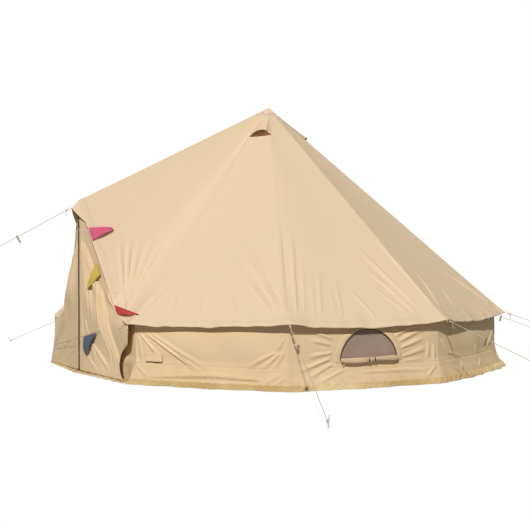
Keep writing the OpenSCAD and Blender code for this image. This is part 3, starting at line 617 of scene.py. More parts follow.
# Folds on the gores run up from the eave corners; short ones stand on the hem
for k, across, share, far_across, far_share, width, depth in (
        (0, 0.93, 0.965, 0.34, 0.640, 0.040, 0.012), (0, 0.965, 0.965, 0.55, 0.62, 0.040, 0.012),
        (0, 0.985, 0.985, 0.99, 0.58, 0.030, 0.010), (0, 0.28, 0.960, 0.22, 0.86, 0.030, 0.006),
        (0, 0.06, 0.975, 0.16, 0.82, 0.035, 0.008), (0, 0.45, 0.97, 0.43, 0.88, 0.030, 0.005),
        (0, 0.70, 0.955, 0.62, 0.88, 0.030, 0.006),
        (1, 0.05, 0.975, 0.12, 0.62, 0.035, 0.009), (1, 0.10, 0.975, 0.16, 0.76, 0.028, 0.004),
        (1, 0.16, 0.965, 0.19, 0.86, 0.024, 0.003), (1, 0.20, 0.975, 0.28, 0.79, 0.030, 0.005),
        (1, 0.29, 0.960, 0.32, 0.87, 0.024, 0.003), (1, 0.34, 0.972, 0.38, 0.83, 0.026, 0.004),
        (1, 0.88, 0.950, 0.70, 0.70, 0.036, 0.011), (1, 0.84, 0.970, 0.66, 0.78, 0.034, 0.011),
        (1, 0.79, 0.965, 0.64, 0.87, 0.030, 0.009), (1, 0.56, 0.975, 0.46, 0.88, 0.030, 0.008),
        (1, 0.99, 0.960, 0.97, 0.66, 0.026, 0.010), (2, 0.06, 0.960, 0.22, 0.80, 0.034, 0.009),
        (2, 0.30, 0.965, 0.38, 0.87, 0.030, 0.007), (2, 0.94, 0.965, 0.70, 0.78, 0.036, 0.010)):
    near, far = gore_at(k, across, share), gore_at(k, far_across, far_share)
    roof_lines.append((near, far, width, ROOF_FOLD_DEPTH * depth))
for k in range(3, PANELS):
    for across, far_across, far_share in ((0.05, 0.15, 0.72), (0.07, 0.34, 0.78), (0.50, 0.46, 0.88),
                                          (0.72, 0.68, 0.87), (0.93, 0.64, 0.76), (0.96, 0.84, 0.68)):
        sway = 0.04 * np.sin(5 * k + 9 * across)
        roof_lines.append((gore_at(k, across, 0.965), gore_at(k, far_across + sway, far_share), 0.038, 0.010))

# Short puckers round the vents, a slow unevenness all over, and a ripple along the hem
for k in VENT_PANELS:
    for across, share, far_across, far_share in ((0.06, 0.17, -0.12, 0.235), (0.18, 0.175, 0.10, 0.23),
                                                 (0.90, 0.18, 1.02, 0.25), (0.80, 0.185, 0.86, 0.25)):
        roof_lines.append((gore_at(k, across, share), gore_at(k, far_across, far_share), 0.020, 0.005))
roof_lift = sum(fold(roof_grid, roof_normals, *line) for line in roof_lines)
roof_x, roof_y, roof_z = np.moveaxis(roof_grid, -1, 0)
roof_drift = np.sin(4.1 * roof_x + 2.3 * roof_z + 1) * np.sin(3.7 * roof_y - 2.9 * roof_z)
roof_turn = np.arctan2(roof_x, -roof_y)
hem_ripple = np.sin(31 * roof_turn) + 0.7 * np.sin(53 * roof_turn + 1.3) + 0.5 * np.sin(87 * roof_turn + 0.4)
roof_lift += ROOF_DRIFT * roof_drift * roof_shares
roof_lift += HEM_RIPPLE * hem_ripple * ramp(roof_shares, 0.93, 1) ** 2 * (line_droop > 0)
roof_lift += HEM_STEP * ((1 - roof_shares) * roof_slope_length < HEM_WIDTH)
roof_grid = roof_grid + roof_lift[..., None] * roof_normals
hem_rows = [-1, -2, -3, -4]
roof_grid = np.concatenate([roof_grid, roof_grid[hem_rows] - HEM_TURN * roof_normals[hem_rows]])
roof_rows = np.concatenate([roof_shares, roof_shares[hem_rows]])


def canvas_weave():
    """A group for cotton canvas: a tone that drifts between two colours, and a plain weave as a height."""
    group, given, result = new_group(
        "canvas_weave", {"Tone": "Color", "Shade": "Color", "Dust": "Float"},
        {"Color": "Color", "Roughness": "Float", "Height": "Float"})
    place = node(group, "TexCoord")
    drift = node(group, "MapRange", {0: noise(group, place["Object"], 1.3, 3.0), 1: 0.38, 2: 0.62})[0]
    slubs = noise(group, place["Object"], 60.0)
    slubbed = node(group, "HueSaturation", {
        "Color": mix(group, drift, given["Tone"], given["Shade"]),
        "Value": math(group, "MULTIPLY_ADD", slubs, 0.08, 0.96)})[0]
    height = node(group, "SeparateXYZ", {0: place["Object"]})[2]
    low = node(group, "MapRange", {0: height, 1: 0.30, 2: 0.0})[0]
    blotch = math(group, "MULTIPLY", low, noise(group, place["Object"], 9.0, 5.0))
    dirt = math(group, "MULTIPLY", blotch, given["Dust"])
    warp, weft = (node(group, "TexWave", {"Vector": place["UV"], "Scale": 130.0}, bands_direction=way)[1]
                  for way in ("X", "Y"))
    feed(group, result, {
        "Color": mix(group, dirt, slubbed, shade(DIRT_BROWN)),
        "Roughness": math(group, "MULTIPLY_ADD", slubs, 0.12, 0.80),
        "Height": math(group, "MAXIMUM", warp, weft)})
    return group


def stitch_rows():
    """A group for two rows of stitches: dashes at set distances across a seam, counted along it."""
    group, given, result = new_group("stitch_rows", {"Across": "Float", "Along": "Float"}, {"Mask": "Float"})
    offs = [math(group, "SUBTRACT", given["Across"], row) for row in STITCH_ROWS]
    near, far = (math(group, "LESS_THAN", math(group, "ABSOLUTE", off), THREAD_HALF) for off in offs)
    part = math(group, "FRACT", math(group, "DIVIDE", given["Along"], STITCH_PITCH))
    dash = math(group, "LESS_THAN", part, STITCH_LENGTH)
    feed(group, result, {"Mask": math(group, "MULTIPLY", math(group, "MAXIMUM", near, far), dash)})
    return group


canvas_group = canvas_weave()
stitch_group = stitch_rows()


def canvas_material(name, tone, drift, dust=0.0, seams=()):
    """Canvas of one tone that drifts to another, dusty near the ground and stitched along its named seams."""
    material, tree, shader = blank_material(name)
    tones = {"Tone": shade(tone), "Shade": shade(drift), "Dust": dust}
    cloth = node(tree, "Group", tones, node_tree=canvas_group)
    colour, height = cloth["Color"], cloth["Height"]
    for seam in seams:
        across, along = (node(tree, "Attribute", attribute_name=layer)["Fac"] for layer in seam)
        stitches = node(tree, "Group", {"Across": across, "Along": along}, node_tree=stitch_group)["Mask"]
        colour = mix(tree, math(tree, "MULTIPLY", stitches, THREAD_TONE), colour, shade(tone, 0.45))
        height = math(tree, "SUBTRACT", height, stitches)
    feed(tree, shader, {
        "Base Color": colour, "Roughness": cloth["Roughness"], "Normal": bump(tree, height, 0.12, 0.0006),
        "Specular IOR Level": 0.15})
    return material


def moon_radius(width, height):
    """Radius of the arc of a half-moon of a width and a height."""
    return (width ** 2 / 4 + height ** 2) / (2 * height)


def half_moon(x, y, width, height, grow):
    """True inside a half-moon that stands on its flat side, grown by a margin."""
    radius = moon_radius(width, height)
    return (np.hypot(x, y - height + radius) < radius + grow) & (y > -grow)


def vent_frame(k):
    """Middle of a vent's sill, and the directions to its right, up the roof and out of it."""
    point = gore_at(k, 0.5, VENT_SHARE)
    right = unit(gore_chords[k] * [1, 1, 0])
    up = unit(gore_at(k, 0.5, VENT_SHARE - 0.02) - point)
    return point, right, up, np.cross(right, up)


roof_middles = (roof_grid[:-1] + roof_grid[1:]) / 2
roof_middles = (roof_middles + np.roll(roof_middles, -1, axis=1)) / 2
roof_keep = np.ones(roof_middles.shape[:2], dtype=bool)
for k in VENT_PANELS:
    point, right, up, out = vent_frame(k)
    off = roof_middles - point
    opening = half_moon(off @ right, off @ up, VENT_WIDTH, VENT_RISE, VENT_MARGIN)
    roof_keep &= ~(opening & (np.abs(off @ out) < 0.05))
roof_layers = {
    "seam": line_seam * roof_rows, "along": roof_slope_length * roof_rows,
    "hem": np.abs((1 - roof_rows) * roof_slope_length - HEM_WIDTH + HEM_STITCH), "run": run_along(eave_line)}
roof_canvas = canvas_material("roof_canvas", CANVAS_CREAM, CANVAS_SHADE, 0.0, (SEAM, HEM))
roof = sew("roof_canvas_sheet", [roof_grid], roof_canvas, "tent", closed=True, keep=roof_keep,
           layers=roof_layers)
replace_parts(roof, "roof_door_gore_left", "roof_door_gore_right",
            *[f"roof_gore_{k + 1}" for k in range(PANELS)])


# Apex cap: a second layer of canvas over the point where the seams meet, sewn down round its waved edge.
# The pole's plug below pushes it up into a small peak.
CAP_RADIUS = 0.096
CAP_RISE = 0.008
CAP_GAP = 0.003
THIN_CLOTH = 0.0015

cap_ends = np.concatenate([[DOOR_TOP], eave_corners])
cap_ways = cap_ends - APEX
cap_ways = cap_ways / np.linalg.norm(cap_ways[:, :2], axis=1, keepdims=True)
cap_steps = np.arange(0, len(cap_ends), 1 / 6)
cap_ways = chain_at(np.append(cap_ways, cap_ways[:1], axis=0), cap_steps)
cap_share = np.linspace(0.03, 1, 16)[:, None]
cap_wave = 1 + 0.03 * np.sin(11 * cap_steps * 2 * np.pi / len(cap_ends))
cap_grid = APEX + (cap_share * CAP_RADIUS * cap_wave)[..., None] * cap_ways
cap_grid[..., 2] += CAP_GAP + CAP_RISE * np.exp(-(cap_share / 0.22) ** 2)
cap_layers = {"seam": (1 - cap_share) * CAP_RADIUS * 1.3, "along": cap_steps * 0.055}
cap_canvas = canvas_material("cap_canvas", shade(CANVAS_CREAM, 1.03), CANVAS_CREAM, 0.0, (SEAM,))
apex_cap = sew("apex_cap_sheet", [cap_grid], cap_canvas, "tent", closed=True,
               layers=cap_layers)
thicken(apex_cap, THIN_CLOTH)
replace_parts(apex_cap, "apex_cap")


# Vent hoods: small canvas cowls sewn over the vents, open down the slope, with a bound edge and a pleat at
# one side. The vents under them have an insect net of brown yarn, lightened with painted light for the sun
# that glows through the hood's canvas, and a bound edge of their own.
CLOTH_THICKNESS = 0.002
HOOD_FROM = 0.040
HOOD_TO = 0.164
HOOD_LIFTS = {0: 0.086, 3: 0.046, 5: 0.046, 8: 0.060}
HOOD_LEAN = 0.24
HOOD_SPREAD = 0.99
HOOD_PEAK = 1.6
HOOD_RISE = 1.3
HOOD_GAP = 0.0045
RIM_RADIUS = 0.0045
NET_OVERLAP = 0.010
NET_DEPTH = 0.004
EDGE_OFF = 0.002
EDGE_RADIUS = 0.007
# Painted light: the net's brown is lightened for the sun that glows through the hood's canvas onto it.
NET_BROWN_WITH_PAINTED_GLOW = (0.95, 0.56, 0.34)
BINDING = (0.78, 0.55, 0.33)


def hood_at(k, share, turn, grow=0.0):
    """Points of a hood: a peaked arch across the gore that rises off the roof as it goes down the slope."""
    down = HOOD_FROM + (HOOD_TO - HOOD_FROM) * share
    across = 0.5 - np.cos(turn) * (HOOD_SPREAD / 2 + grow / (gore_widths[k] * down))
    peaked = np.maximum(0, np.sin(turn - HOOD_LEAN * np.sin(turn))) ** HOOD_PEAK
    lift = HOOD_GAP + (HOOD_LIFTS[k] * share ** HOOD_RISE + 0.004 + grow) * peaked
    pleat = 0.010 * np.exp(-((turn - 2.35) / 0.16) ** 2) - 0.012 * np.exp(-((turn - 2.62) / 0.13) ** 2)
    return gore_at(k, across, down) + vent_frame(k)[3] * (lift + pleat * share)[..., None]


hood_share, hood_turn = np.meshgrid(np.linspace(0.02, 1, 22), np.linspace(0, np.pi, 40), indexing="ij")
hood_grids = [hood_at(k, hood_share, hood_turn) for k in VENT_PANELS]
hood_layers = {"seam": (1 - hood_share) * 0.37, "along": hood_turn * 0.1}
vent_hoods = sew("vent_hood_sheets", hood_grids, cap_canvas, "tent", layers=hood_layers)
thicken(vent_hoods, CLOTH_THICKNESS)
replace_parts(vent_hoods, "vent_hoods")

binding = canvas_material("edge_binding", BINDING, CANVAS_SHADE)
rim_turn = np.linspace(0, np.pi, 40)
rim_grids = [tube(hood_at(k, np.ones(40), rim_turn, 0.001), RIM_RADIUS, vent_frame(k)[2])
             for k in VENT_PANELS]
sew("vent_hood_bindings", rim_grids, binding, "tent", closed=True)


def half_moon_grid(width, height, grow, rows, columns):
    """A half-moon filled by rows that rise from its flat side to its arc, each from one side to the other."""
    radius = moon_radius(width, height) + grow
    rise = np.linspace(1, 0, rows)[:, None] * (height + 2 * grow) - grow
    half = np.sqrt(np.maximum(radius ** 2 - (rise - height + radius - grow) ** 2, 1e-6))
    half = np.minimum(half, width / 2 + grow)
    return half * np.linspace(-1, 1, columns), np.broadcast_to(rise, (rows, columns))


def on_roof(k, x, y, off):
    """Points of a vent by their metres to the right of its sill's middle, up the slope and off the canvas."""
    share = VENT_SHARE - y / np.linalg.norm(gore_at(k, 0.5, 1.0) - APEX)
    return gore_at(k, 0.5 + x / (gore_widths[k] * share), share) + vent_frame(k)[3] * off


def net_material(name, colour, pitch, opening):
    """Insect net: fine yarns that cross, with holes between them."""
    material, tree, shader = blank_material(name)
    place = node(tree, "TexCoord")
    metres = node(tree, "SeparateXYZ", {0: place["UV"]})
    parts = [math(tree, "FRACT", math(tree, "DIVIDE", metres[axis], pitch)) for axis in (0, 1)]
    hole = math(tree, "MULTIPLY", *[math(tree, "LESS_THAN", part, opening) for part in parts])
    folds = noise(tree, place["Object"], 6.0)
    feed(tree, shader, {
        "Base Color": mix(tree, folds, shade(colour, 0.82), shade(colour, 1.16)),
        "Alpha": math(tree, "SUBTRACT", 1.0, hole), "Roughness": 0.7, "Specular IOR Level": 0.2})
    return material


vent_x, vent_y = half_moon_grid(VENT_WIDTH, VENT_RISE, NET_OVERLAP, 10, 20)
vent_grids = [on_roof(k, vent_x, vent_y, -NET_DEPTH) for k in VENT_PANELS]
vent_net = net_material("vent_net", NET_BROWN_WITH_PAINTED_GLOW, 0.0016, 0.20)
vent_nets = sew("vent_nets", vent_grids, vent_net, "tent")
arc_turn = np.linspace(-1, 1, 41)
arc_y = VENT_RISE * np.append(1 - arc_turn ** 2, [0])
arc_x = VENT_WIDTH / 2 * np.append(np.sin(arc_turn * np.pi / 2), [-1])
arc_grids = [tube(on_roof(k, arc_x, arc_y, EDGE_OFF), EDGE_RADIUS, vent_frame(k)[3], capped=False)
             for k in VENT_PANELS]
sew("vent_facings", arc_grids, binding, "tent", closed=True)


# Wall: canvas hung from the roof just inside the eave, turned in behind the door flap at both ends. It swells
# between the corners, is seamed at each corner, and has a half-moon window cut in one panel on each side.
WALL_LOW = 0.180
SKIRT_FLARE = 0.085
DOOR_CORNER_FLARE = 0.015
SKIRT_BOW = 0.045
WALL_BULGE = 0.058
WALL_FOLD = 0.009
WINDOW_PANELS = (1, 7)
WINDOW_WIDTH = 0.572
WINDOW_HEIGHT = 0.245
WINDOW_SILL = 0.272
PANEL_COLUMNS = (190, 180, 120, 36, 36, 36, 36, 64, 36)
RETURN_COLUMNS = 14
RETURN_GAP = 0.014
RETURN_TOP = np.array([0.590, 0.655])
RETURN_FLOOR_X = 0.440
# The wall's colours are its own yellower cream, lifted about seven per cent as painted light so the walls
# come out as bright as the roof.
WALL_CREAM_WITH_PAINTED_LIGHT = (0.865, 0.668, 0.415)
WALL_DRIFT_WITH_PAINTED_LIGHT = (0.825, 0.620, 0.376)
WALL_GAP = 0.003
WINDOW_MARGIN = 0.014
SEAM_ROLL = 0.010
SEAM_ROLL_WIDTH = 0.035
WALL_FOLD_WIDTH = 1.3
WALL_FOLD_DEPTH = 1.5
DOOR_SLANT = (LEG_FOOT[1] - DOOR_TOP[1]) / LEG_FOOT[0]
door_out = unit(np.array([DOOR_SLANT, -1.0, 0.0]))


def door_plane(x, z, off=0.0):
    """Points on the right half of the door, x from the zip and z up, and off in front of it."""
    x, z, off = np.broadcast_arrays(np.asarray(x, float), np.asarray(z, float), np.asarray(off, float))
    return np.stack([x, DOOR_TOP[1] + DOOR_SLANT * x, z], axis=-1) + off[..., None] * door_out


def skirt_share(z):
    """How far down the skirt a height is, from 0 at its seam to 1 on the ground."""
    return ramp(z, WALL_LOW, 0)


def wall_corner(k, z):
    """The wall's seam at corner k, straight down and then standing out to the ground."""
    flare = SKIRT_FLARE + DOOR_CORNER_FLARE * np.isin(k, (0, PANELS))
    return polar(WALL_SHARE * corner_radii[k] + flare * skirt_share(z), corner_angles[k], z)


wall_steps = np.diff(polar(WALL_SHARE * corner_radii, corner_angles, 0), axis=0)
wall_length = np.linalg.norm(wall_steps, axis=1)
wall_chords = unit(wall_steps)
wall_outs = np.stack([wall_chords[:, 1], -wall_chords[:, 0], 0 * wall_chords[:, 0]], axis=-1)


def wall_top(k, across):
    """Height at which the wall meets the roof's underside."""
    edge = corner_heights[k] + (corner_heights[k + 1] - corner_heights[k]) * across
    droop = panel_droop[k] * ramp(WALL_SHARE, DROOP_FROM, 1) ** 2
    hang = arch(across) * (ROOF_SAG * np.sin(np.pi * WALL_SHARE) + droop)
    return APEX[2] + WALL_SHARE * (edge - APEX[2]) - hang - ROOF_DROP - WALL_GAP


def wall_at(k, across, z):
    """Points on wall panel k: the chord between its seams, swollen most at half its height."""
    k, across, z = np.broadcast_arrays(k, np.asarray(across, float), np.asarray(z, float))
    deep = WALL_FOLD * np.where(np.isin(k, WINDOW_PANELS), 0.25, 1.0)
    fold_wave = deep * np.sin(np.radians(900 * across + 140 * k + 300 * z))
    swell = np.sin(np.pi * z / wall_top(k, across)) * (WALL_BULGE + fold_wave) + SKIRT_BOW * skirt_share(z)
    left, right = wall_corner(k, z), wall_corner(k + 1, z)
    return left + (right - left) * across[..., None] + wall_outs[k] * (arch(across) * swell)[..., None]


def return_at(share, z):
    """Points on the right return: from behind the door flap forward to the corner's seam."""
    share, z = np.broadcast_arrays(np.asarray(share, float), np.asarray(z, float))
    x = RETURN_TOP[0] + (RETURN_FLOOR_X - RETURN_TOP[0]) * ramp(z, RETURN_TOP[1], 0)
    near = door_plane(x, z, -RETURN_GAP)
    points = near + (wall_corner(0, z) - near) * share[..., None]
    behind = DOOR_TOP[1] + DOOR_SLANT * points[..., 0] + RETURN_GAP
    tuck = np.maximum(0, behind - points[..., 1]) * ramp(share, 1, 2 / 3)
    return points + tuck[..., None] * [0, 1, 0]


def panel_columns(counts):
    """The panel of each column and its share of the way across it, with the last corner added."""
    panel = np.concatenate([np.full(count, k) for k, count in enumerate(counts)] + [[PANELS - 1]])
    share = np.concatenate([np.arange(count) / count for count in counts] + [[1.0]])
    return panel, share


column_panel, column_share = panel_columns(PANEL_COLUMNS)
return_share = np.arange(RETURN_COLUMNS) / RETURN_COLUMNS


def wall_grid(rows, top, low):
    """Rows of wall points from a top height, a function of the panel and the share across, to a low one.
    A return whose top is at the eave rises from there to the door flap's edge."""
    down = np.linspace(0, 1, rows)[:, None]
    panel_z = top(column_panel, column_share) * (1 - down) + low * down
    side_top = top(np.zeros(RETURN_COLUMNS, dtype=int), np.zeros(RETURN_COLUMNS))
    side_top = side_top + (RETURN_TOP[1] - side_top) * (1 - return_share) * (side_top > 2 * WALL_LOW)
    turned_in = return_at(return_share, side_top * (1 - down) + low * down)
    panels = wall_at(column_panel, column_share, panel_z)
    return np.concatenate([turned_in, panels, mirrored(turned_in[:, ::-1])], axis=1)


WALL_FOLDS = (
    (0, 0.030, 0.475, 0.19, 0.235, 0.016, 0.010), (0, 0.065, 0.480, 0.50, 0.090, 0.017, 0.013),
    (0, 0.090, 0.485, 0.56, 0.120, 0.026, 0.008), (0, 0.300, 0.300, 0.50, 0.110, 0.018, 0.008),
    (0, 0.93, 0.330, 0.74, 0.180, 0.024, 0.009), (0, 0.96, 0.330, 0.83, 0.160, 0.022, 0.009),
    (0, 0.98, 0.340, 0.91, 0.170, 0.020, 0.008), (0, 0.975, 0.450, 0.93, 0.330, 0.020, 0.008),
    (0, 0.01, 0.36, 0.02, 0.10, 0.020, 0.008), (0, 0.03, 0.44, 0.06, 0.18, 0.022, 0.007),
    (1, 0.27, 0.220, 0.10, 0.090, 0.022, 0.010), (1, 0.26, 0.270, 0.04, 0.150, 0.022, 0.011),
    (1, 0.27, 0.320, 0.10, 0.280, 0.022, 0.008), (1, 0.26, 0.380, 0.12, 0.440, 0.022, 0.009),
    (1, 0.27, 0.430, 0.14, 0.520, 0.022, 0.008), (1, 0.70, 0.390, 0.88, 0.500, 0.024, 0.010),
    (1, 0.71, 0.330, 0.90, 0.420, 0.024, 0.010), (1, 0.72, 0.250, 0.93, 0.330, 0.026, 0.008),
    (1, 0.68, 0.440, 0.80, 0.530, 0.022, 0.010), (1, 0.92, 0.380, 0.915, 0.200, 0.022, 0.009),
    (1, 0.96, 0.360, 0.97, 0.190, 0.020, 0.009), (1, 0.74, 0.215, 0.90, 0.225, 0.020, 0.005),
    (2, 0.03, 0.400, 0.14, 0.200, 0.024, 0.010), (2, 0.10, 0.260, 0.30, 0.200, 0.024, 0.008),
    (2, 0.50, 0.300, 0.53, 0.190, 0.024, 0.007), (2, 0.92, 0.420, 0.75, 0.200, 0.026, 0.009),
    (0, 0.12, 0.066, 0.66, 0.104, 0.022, 0.015), (0, 0.86, 0.080, 0.40, 0.106, 0.022, 0.015),
    (0, 0.86, 0.050, 0.97, 0.150, 0.016, 0.008), (0, 0.92, 0.040, 0.99, 0.120, 0.016, 0.008),
    (0, 0.02, 0.160, 0.14, 0.050, 0.018, 0.008), (1, 0.35, 0.165, 0.14, 0.040, 0.020, 0.009),
    (1, 0.42, 0.130, 0.98, 0.120, 0.022, 0.008), (1, 0.97, 0.150, 0.88, 0.060, 0.018, 0.009),
    (2, 0.08, 0.150, 0.22, 0.050, 0.018, 0.009), (2, 0.30, 0.160, 0.24, 0.050, 0.018, 0.008),
    (2, 0.60, 0.150, 0.50, 0.050, 0.018, 0.008))
FAR_FOLDS = (
    (0.04, 0.46, 0.34, 0.19), (0.06, 0.48, 0.18, 0.22), (0.95, 0.45, 0.72, 0.20), (0.97, 0.36, 0.86, 0.19),
    (0.10, 0.05, 0.60, 0.10), (0.95, 0.05, 0.80, 0.16))


def creased(points, off=0.0):
    """Points of the wall or the skirt, lifted off by the folds that the two share across their seam.
    The lines of WALL_FOLDS are on the near panels, and those of FAR_FOLDS on each of the others."""
    normals = grid_normals(points)
    lines = []
    for k, across, z, far_across, far_z, width, depth in WALL_FOLDS:
        near, far = wall_at(k, across, z), wall_at(k, far_across, far_z)
        lines.append((near, far, WALL_FOLD_WIDTH * width, WALL_FOLD_DEPTH * depth))
    for k in range(3, PANELS):
        for across, z, far_across, far_z in FAR_FOLDS:
            sway = 0.05 * np.sin(7 * k + 11 * across)
            lines.append((wall_at(k, across, z), wall_at(k, far_across + sway, far_z), 0.026, 0.009))
    lift = off + SEAM_ROLL * np.exp(-((points[..., 2] - WALL_LOW) / SEAM_ROLL_WIDTH) ** 2)
    lift = lift + sum(fold(points, normals, *line) for line in lines)
    return points + lift[..., None] * normals


wall_sheet = creased(wall_grid(52, wall_top, WALL_LOW))


def window_frame(k):
    """Middle of a window's sill on the canvas, and the directions to its right, up and out."""
    middle = WINDOW_SILL + WINDOW_HEIGHT / 2
    rise = wall_at(k, 0.5, middle + 0.02) - wall_at(k, 0.5, middle - 0.02)
    out = unit(np.cross(wall_chords[k], rise))
    up = np.cross(out, wall_chords[k])
    return wall_at(k, 0.5, middle) - up * WINDOW_HEIGHT / 2, wall_chords[k], up, out


def on_window(k, x, y, off):
    """Points of a window by their metres to the right of its sill's middle, up and off the canvas."""
    length = np.linalg.norm(wall_corner(k + 1, np.array(0.5)) - wall_corner(k, np.array(0.5)))
    return wall_at(k, 0.5 + x / length, WINDOW_SILL + y) + window_frame(k)[3] * np.asarray(off)[..., None]


wall_middles = (wall_sheet[:-1, :-1] + wall_sheet[1:, 1:] + wall_sheet[:-1, 1:] + wall_sheet[1:, :-1]) / 4
wall_keep = np.ones(wall_middles.shape[:2], dtype=bool)
for k in WINDOW_PANELS:
    point, right, up, out = window_frame(k)
    off = wall_middles - point
    opening = half_moon(off @ right, off @ up, WINDOW_WIDTH, WINDOW_HEIGHT, WINDOW_MARGIN)
    wall_keep &= ~(opening & (np.abs(off @ out) < 0.1))
column_seam = to_seam(column_share) * wall_length[column_panel]
return_seam = (1 - return_share) * 0.5
wall_seam = np.concatenate([return_seam, column_seam, return_seam[::-1]])
wall_run = run_along(wall_sheet[-1])
wall_layers = {
    "seam": wall_seam, "along": wall_sheet[..., 2], "hem": wall_sheet[..., 2] - WALL_LOW, "run": wall_run}
wall_canvas = canvas_material("wall_canvas", WALL_CREAM_WITH_PAINTED_LIGHT, WALL_DRIFT_WITH_PAINTED_LIGHT, 0.25, (SEAM, HEM))
wall = sew("wall_canvas_sheet", [wall_sheet], wall_canvas, "tent", keep=wall_keep,
           layers=wall_layers)
thicken(wall, CLOTH_THICKNESS)
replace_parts(wall, "door_return_left", "door_return_right", *[f"wall_panel_{k + 1}" for k in range(PANELS)])


# Windows: an insect net behind each opening, and a canvas facing sewn round its arc and down past both ends.
# A brown piping cord is sewn in along the facing's inner edge.
NET_MAUVE = (0.40, 0.29, 0.225)
PIPING_BROWN = (0.16, 0.075, 0.045)
FACING_WIDTH = 0.048
FACING_LEG = 0.055
PIPING_RADIUS = 0.0042

window_x, window_y = half_moon_grid(WINDOW_WIDTH, WINDOW_HEIGHT, 0.020, 24, 40)
window_sag = -0.006 - 0.010 * np.cos(window_x * 5.5) * np.sin(np.pi * np.clip(window_y / WINDOW_HEIGHT, 0, 1))
net_grids = [on_window(k, window_x, window_y, window_sag) for k in WINDOW_PANELS]
window_net = net_material("window_net", NET_MAUVE, 0.0018, 0.24)
window_nets = sew("window_nets", net_grids, window_net, "tent")
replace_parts(window_nets, "insect_meshes")

arc_radius = moon_radius(WINDOW_WIDTH, WINDOW_HEIGHT)
arc_end = np.arcsin(WINDOW_WIDTH / 2 / arc_radius)
facing_turn = np.concatenate([[-arc_end] * 6, np.linspace(-arc_end, arc_end, 60), [arc_end] * 6])
facing_leg = np.concatenate([np.linspace(1, 0.1, 6), np.zeros(60), np.linspace(0.1, 1, 6)]) * FACING_LEG
facing_across = np.linspace(FACING_WIDTH, -0.002, 7)[:, None]
facing_x = (arc_radius + facing_across) * np.sin(facing_turn)
facing_y = (arc_radius + facing_across) * np.cos(facing_turn) + WINDOW_HEIGHT - arc_radius - facing_leg
facing_swell = np.sin(np.linspace(0, 1, 7)[:, None] * np.pi)
facing_off = 0.0035 + 0.0015 * facing_swell + 0.001 * np.sin(facing_turn * 23)
facing_grids = [on_window(k, facing_x, facing_y, facing_off) for k in WINDOW_PANELS]
facing_layers = {"seam": FACING_WIDTH - facing_across, "along": facing_turn * arc_radius - facing_leg}
facing_canvas = canvas_material("facing_canvas", shade(WALL_CREAM_WITH_PAINTED_LIGHT, 0.97), WALL_DRIFT_WITH_PAINTED_LIGHT, 0.1, (SEAM,))
window_facings = sew("window_facings", facing_grids, facing_canvas, "tent",
                     layers=facing_layers)
thicken(window_facings, THIN_CLOTH)

piping_x, piping_y = facing_x[-1, 3:-3], facing_y[-1, 3:-3]
piping_grids = [tube(on_window(k, piping_x, piping_y, 0.004), PIPING_RADIUS, window_frame(k)[3])
                for k in WINDOW_PANELS]
piping_cord = rope_material("piping_cord", PIPING_BROWN)
sew("window_piping", piping_grids, piping_cord, "tent", closed=True)


# Window covers: the canvas half-moon that closes a window, rolled up under the sill in soft uneven turns.
# Two webbing ties with dark wooden toggles hold it at the middle, and one end hangs loose as a short tail.
ROLL_RADIUS = 0.023
ROLL_LENGTH = 0.570
ROLL_CREAM = (0.76, 0.57, 0.37)
TOGGLE_BROWN = (0.030, 0.018, 0.012)
TIE_PLACES = (-0.020, 0.035)
TIE_WIDTH = 0.012
TOGGLE_LENGTH = 0.038
TOGGLE_RADIUS = 0.0065

roll_canvas = canvas_material("rolled_canvas", ROLL_CREAM, shade(ROLL_CREAM, 0.86), 0.1)
roll_run = np.linspace(-0.5, 0.5, 90) * ROLL_LENGTH
roll_turn = np.linspace(0, 2 * np.pi, 36, endpoint=False)
roll_sag = 0.007 * np.sin(roll_run * 11) - 0.006 * np.cos(roll_run * 5)
roll_pinch = 1 - 0.22 * sum(np.exp(-((roll_run - place) / 0.012) ** 2) for place in TIE_PLACES)
roll_pinch = roll_pinch * (1 - 0.25 * ramp(np.abs(roll_run), 0.25, 0.285))
roll_turns = 0.10 * np.sin(2 * roll_turn + 18 * roll_run[:, None])
roll_turns = roll_turns + 0.07 * np.sin(5 * roll_turn + 31 * roll_run[:, None])
roll_turns = roll_turns + 0.10 * np.clip(np.cos(roll_turn - 1.1), 0, 1) ** 6
roll_reach = ROLL_RADIUS * roll_pinch[:, None] * (0.90 + roll_turns)
toggle_run = np.linspace(-0.5, 0.5, 12)[:, None] * TOGGLE_LENGTH
toggle_reach = TOGGLE_RADIUS * np.sqrt(arch(np.linspace(0.06, 0.94, 12)))
tail_down, tail_across = np.meshgrid(np.linspace(0, 1, 8), np.linspace(0, 1, 6), indexing="ij")
tail_x = -ROLL_LENGTH / 2 + 0.022 + 0.026 * tail_across * (1 - 0.5 * tail_down)
tail_off = 0.034 - 0.016 * tail_down + 0.006 * np.sin(4 * tail_across)
roll_grids, tie_grids, toggle_grids, tail_grids = [], [], [], []
for k in WINDOW_PANELS:
    point, right, up, out = window_frame(k)
    centre = on_window(k, roll_run, -ROLL_RADIUS - 0.004 + roll_sag, 0.030)
    round_it = np.cos(roll_turn)[:, None] * out + np.sin(roll_turn)[:, None] * up
    roll_grids.append(close_ends(centre[:, None] + roll_reach[..., None] * round_it, centre)[:, ::-1])
    for place in TIE_PLACES:
        held = centre[np.abs(roll_run - place).argmin()]
        ring = held + ROLL_RADIUS * 0.83 * np.append(round_it, round_it[:1], axis=0)
        tie_grids.append(ring[None] + np.array([-0.5, 0.5])[:, None, None] * TIE_WIDTH * right)
        toggle = held + out * (ROLL_RADIUS + 0.004) + up * toggle_run
        toggle_grids.append(tube(toggle, toggle_reach, right, 10))
    tail_grids.append(on_window(k, tail_x, -0.026 - 0.062 * tail_down, tail_off))
window_rolls = sew("window_roll_covers", roll_grids, roll_canvas, "tent", closed=True)
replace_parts(window_rolls, "window_rolls")
window_ties = sew("window_ties", tie_grids, binding, "tent")
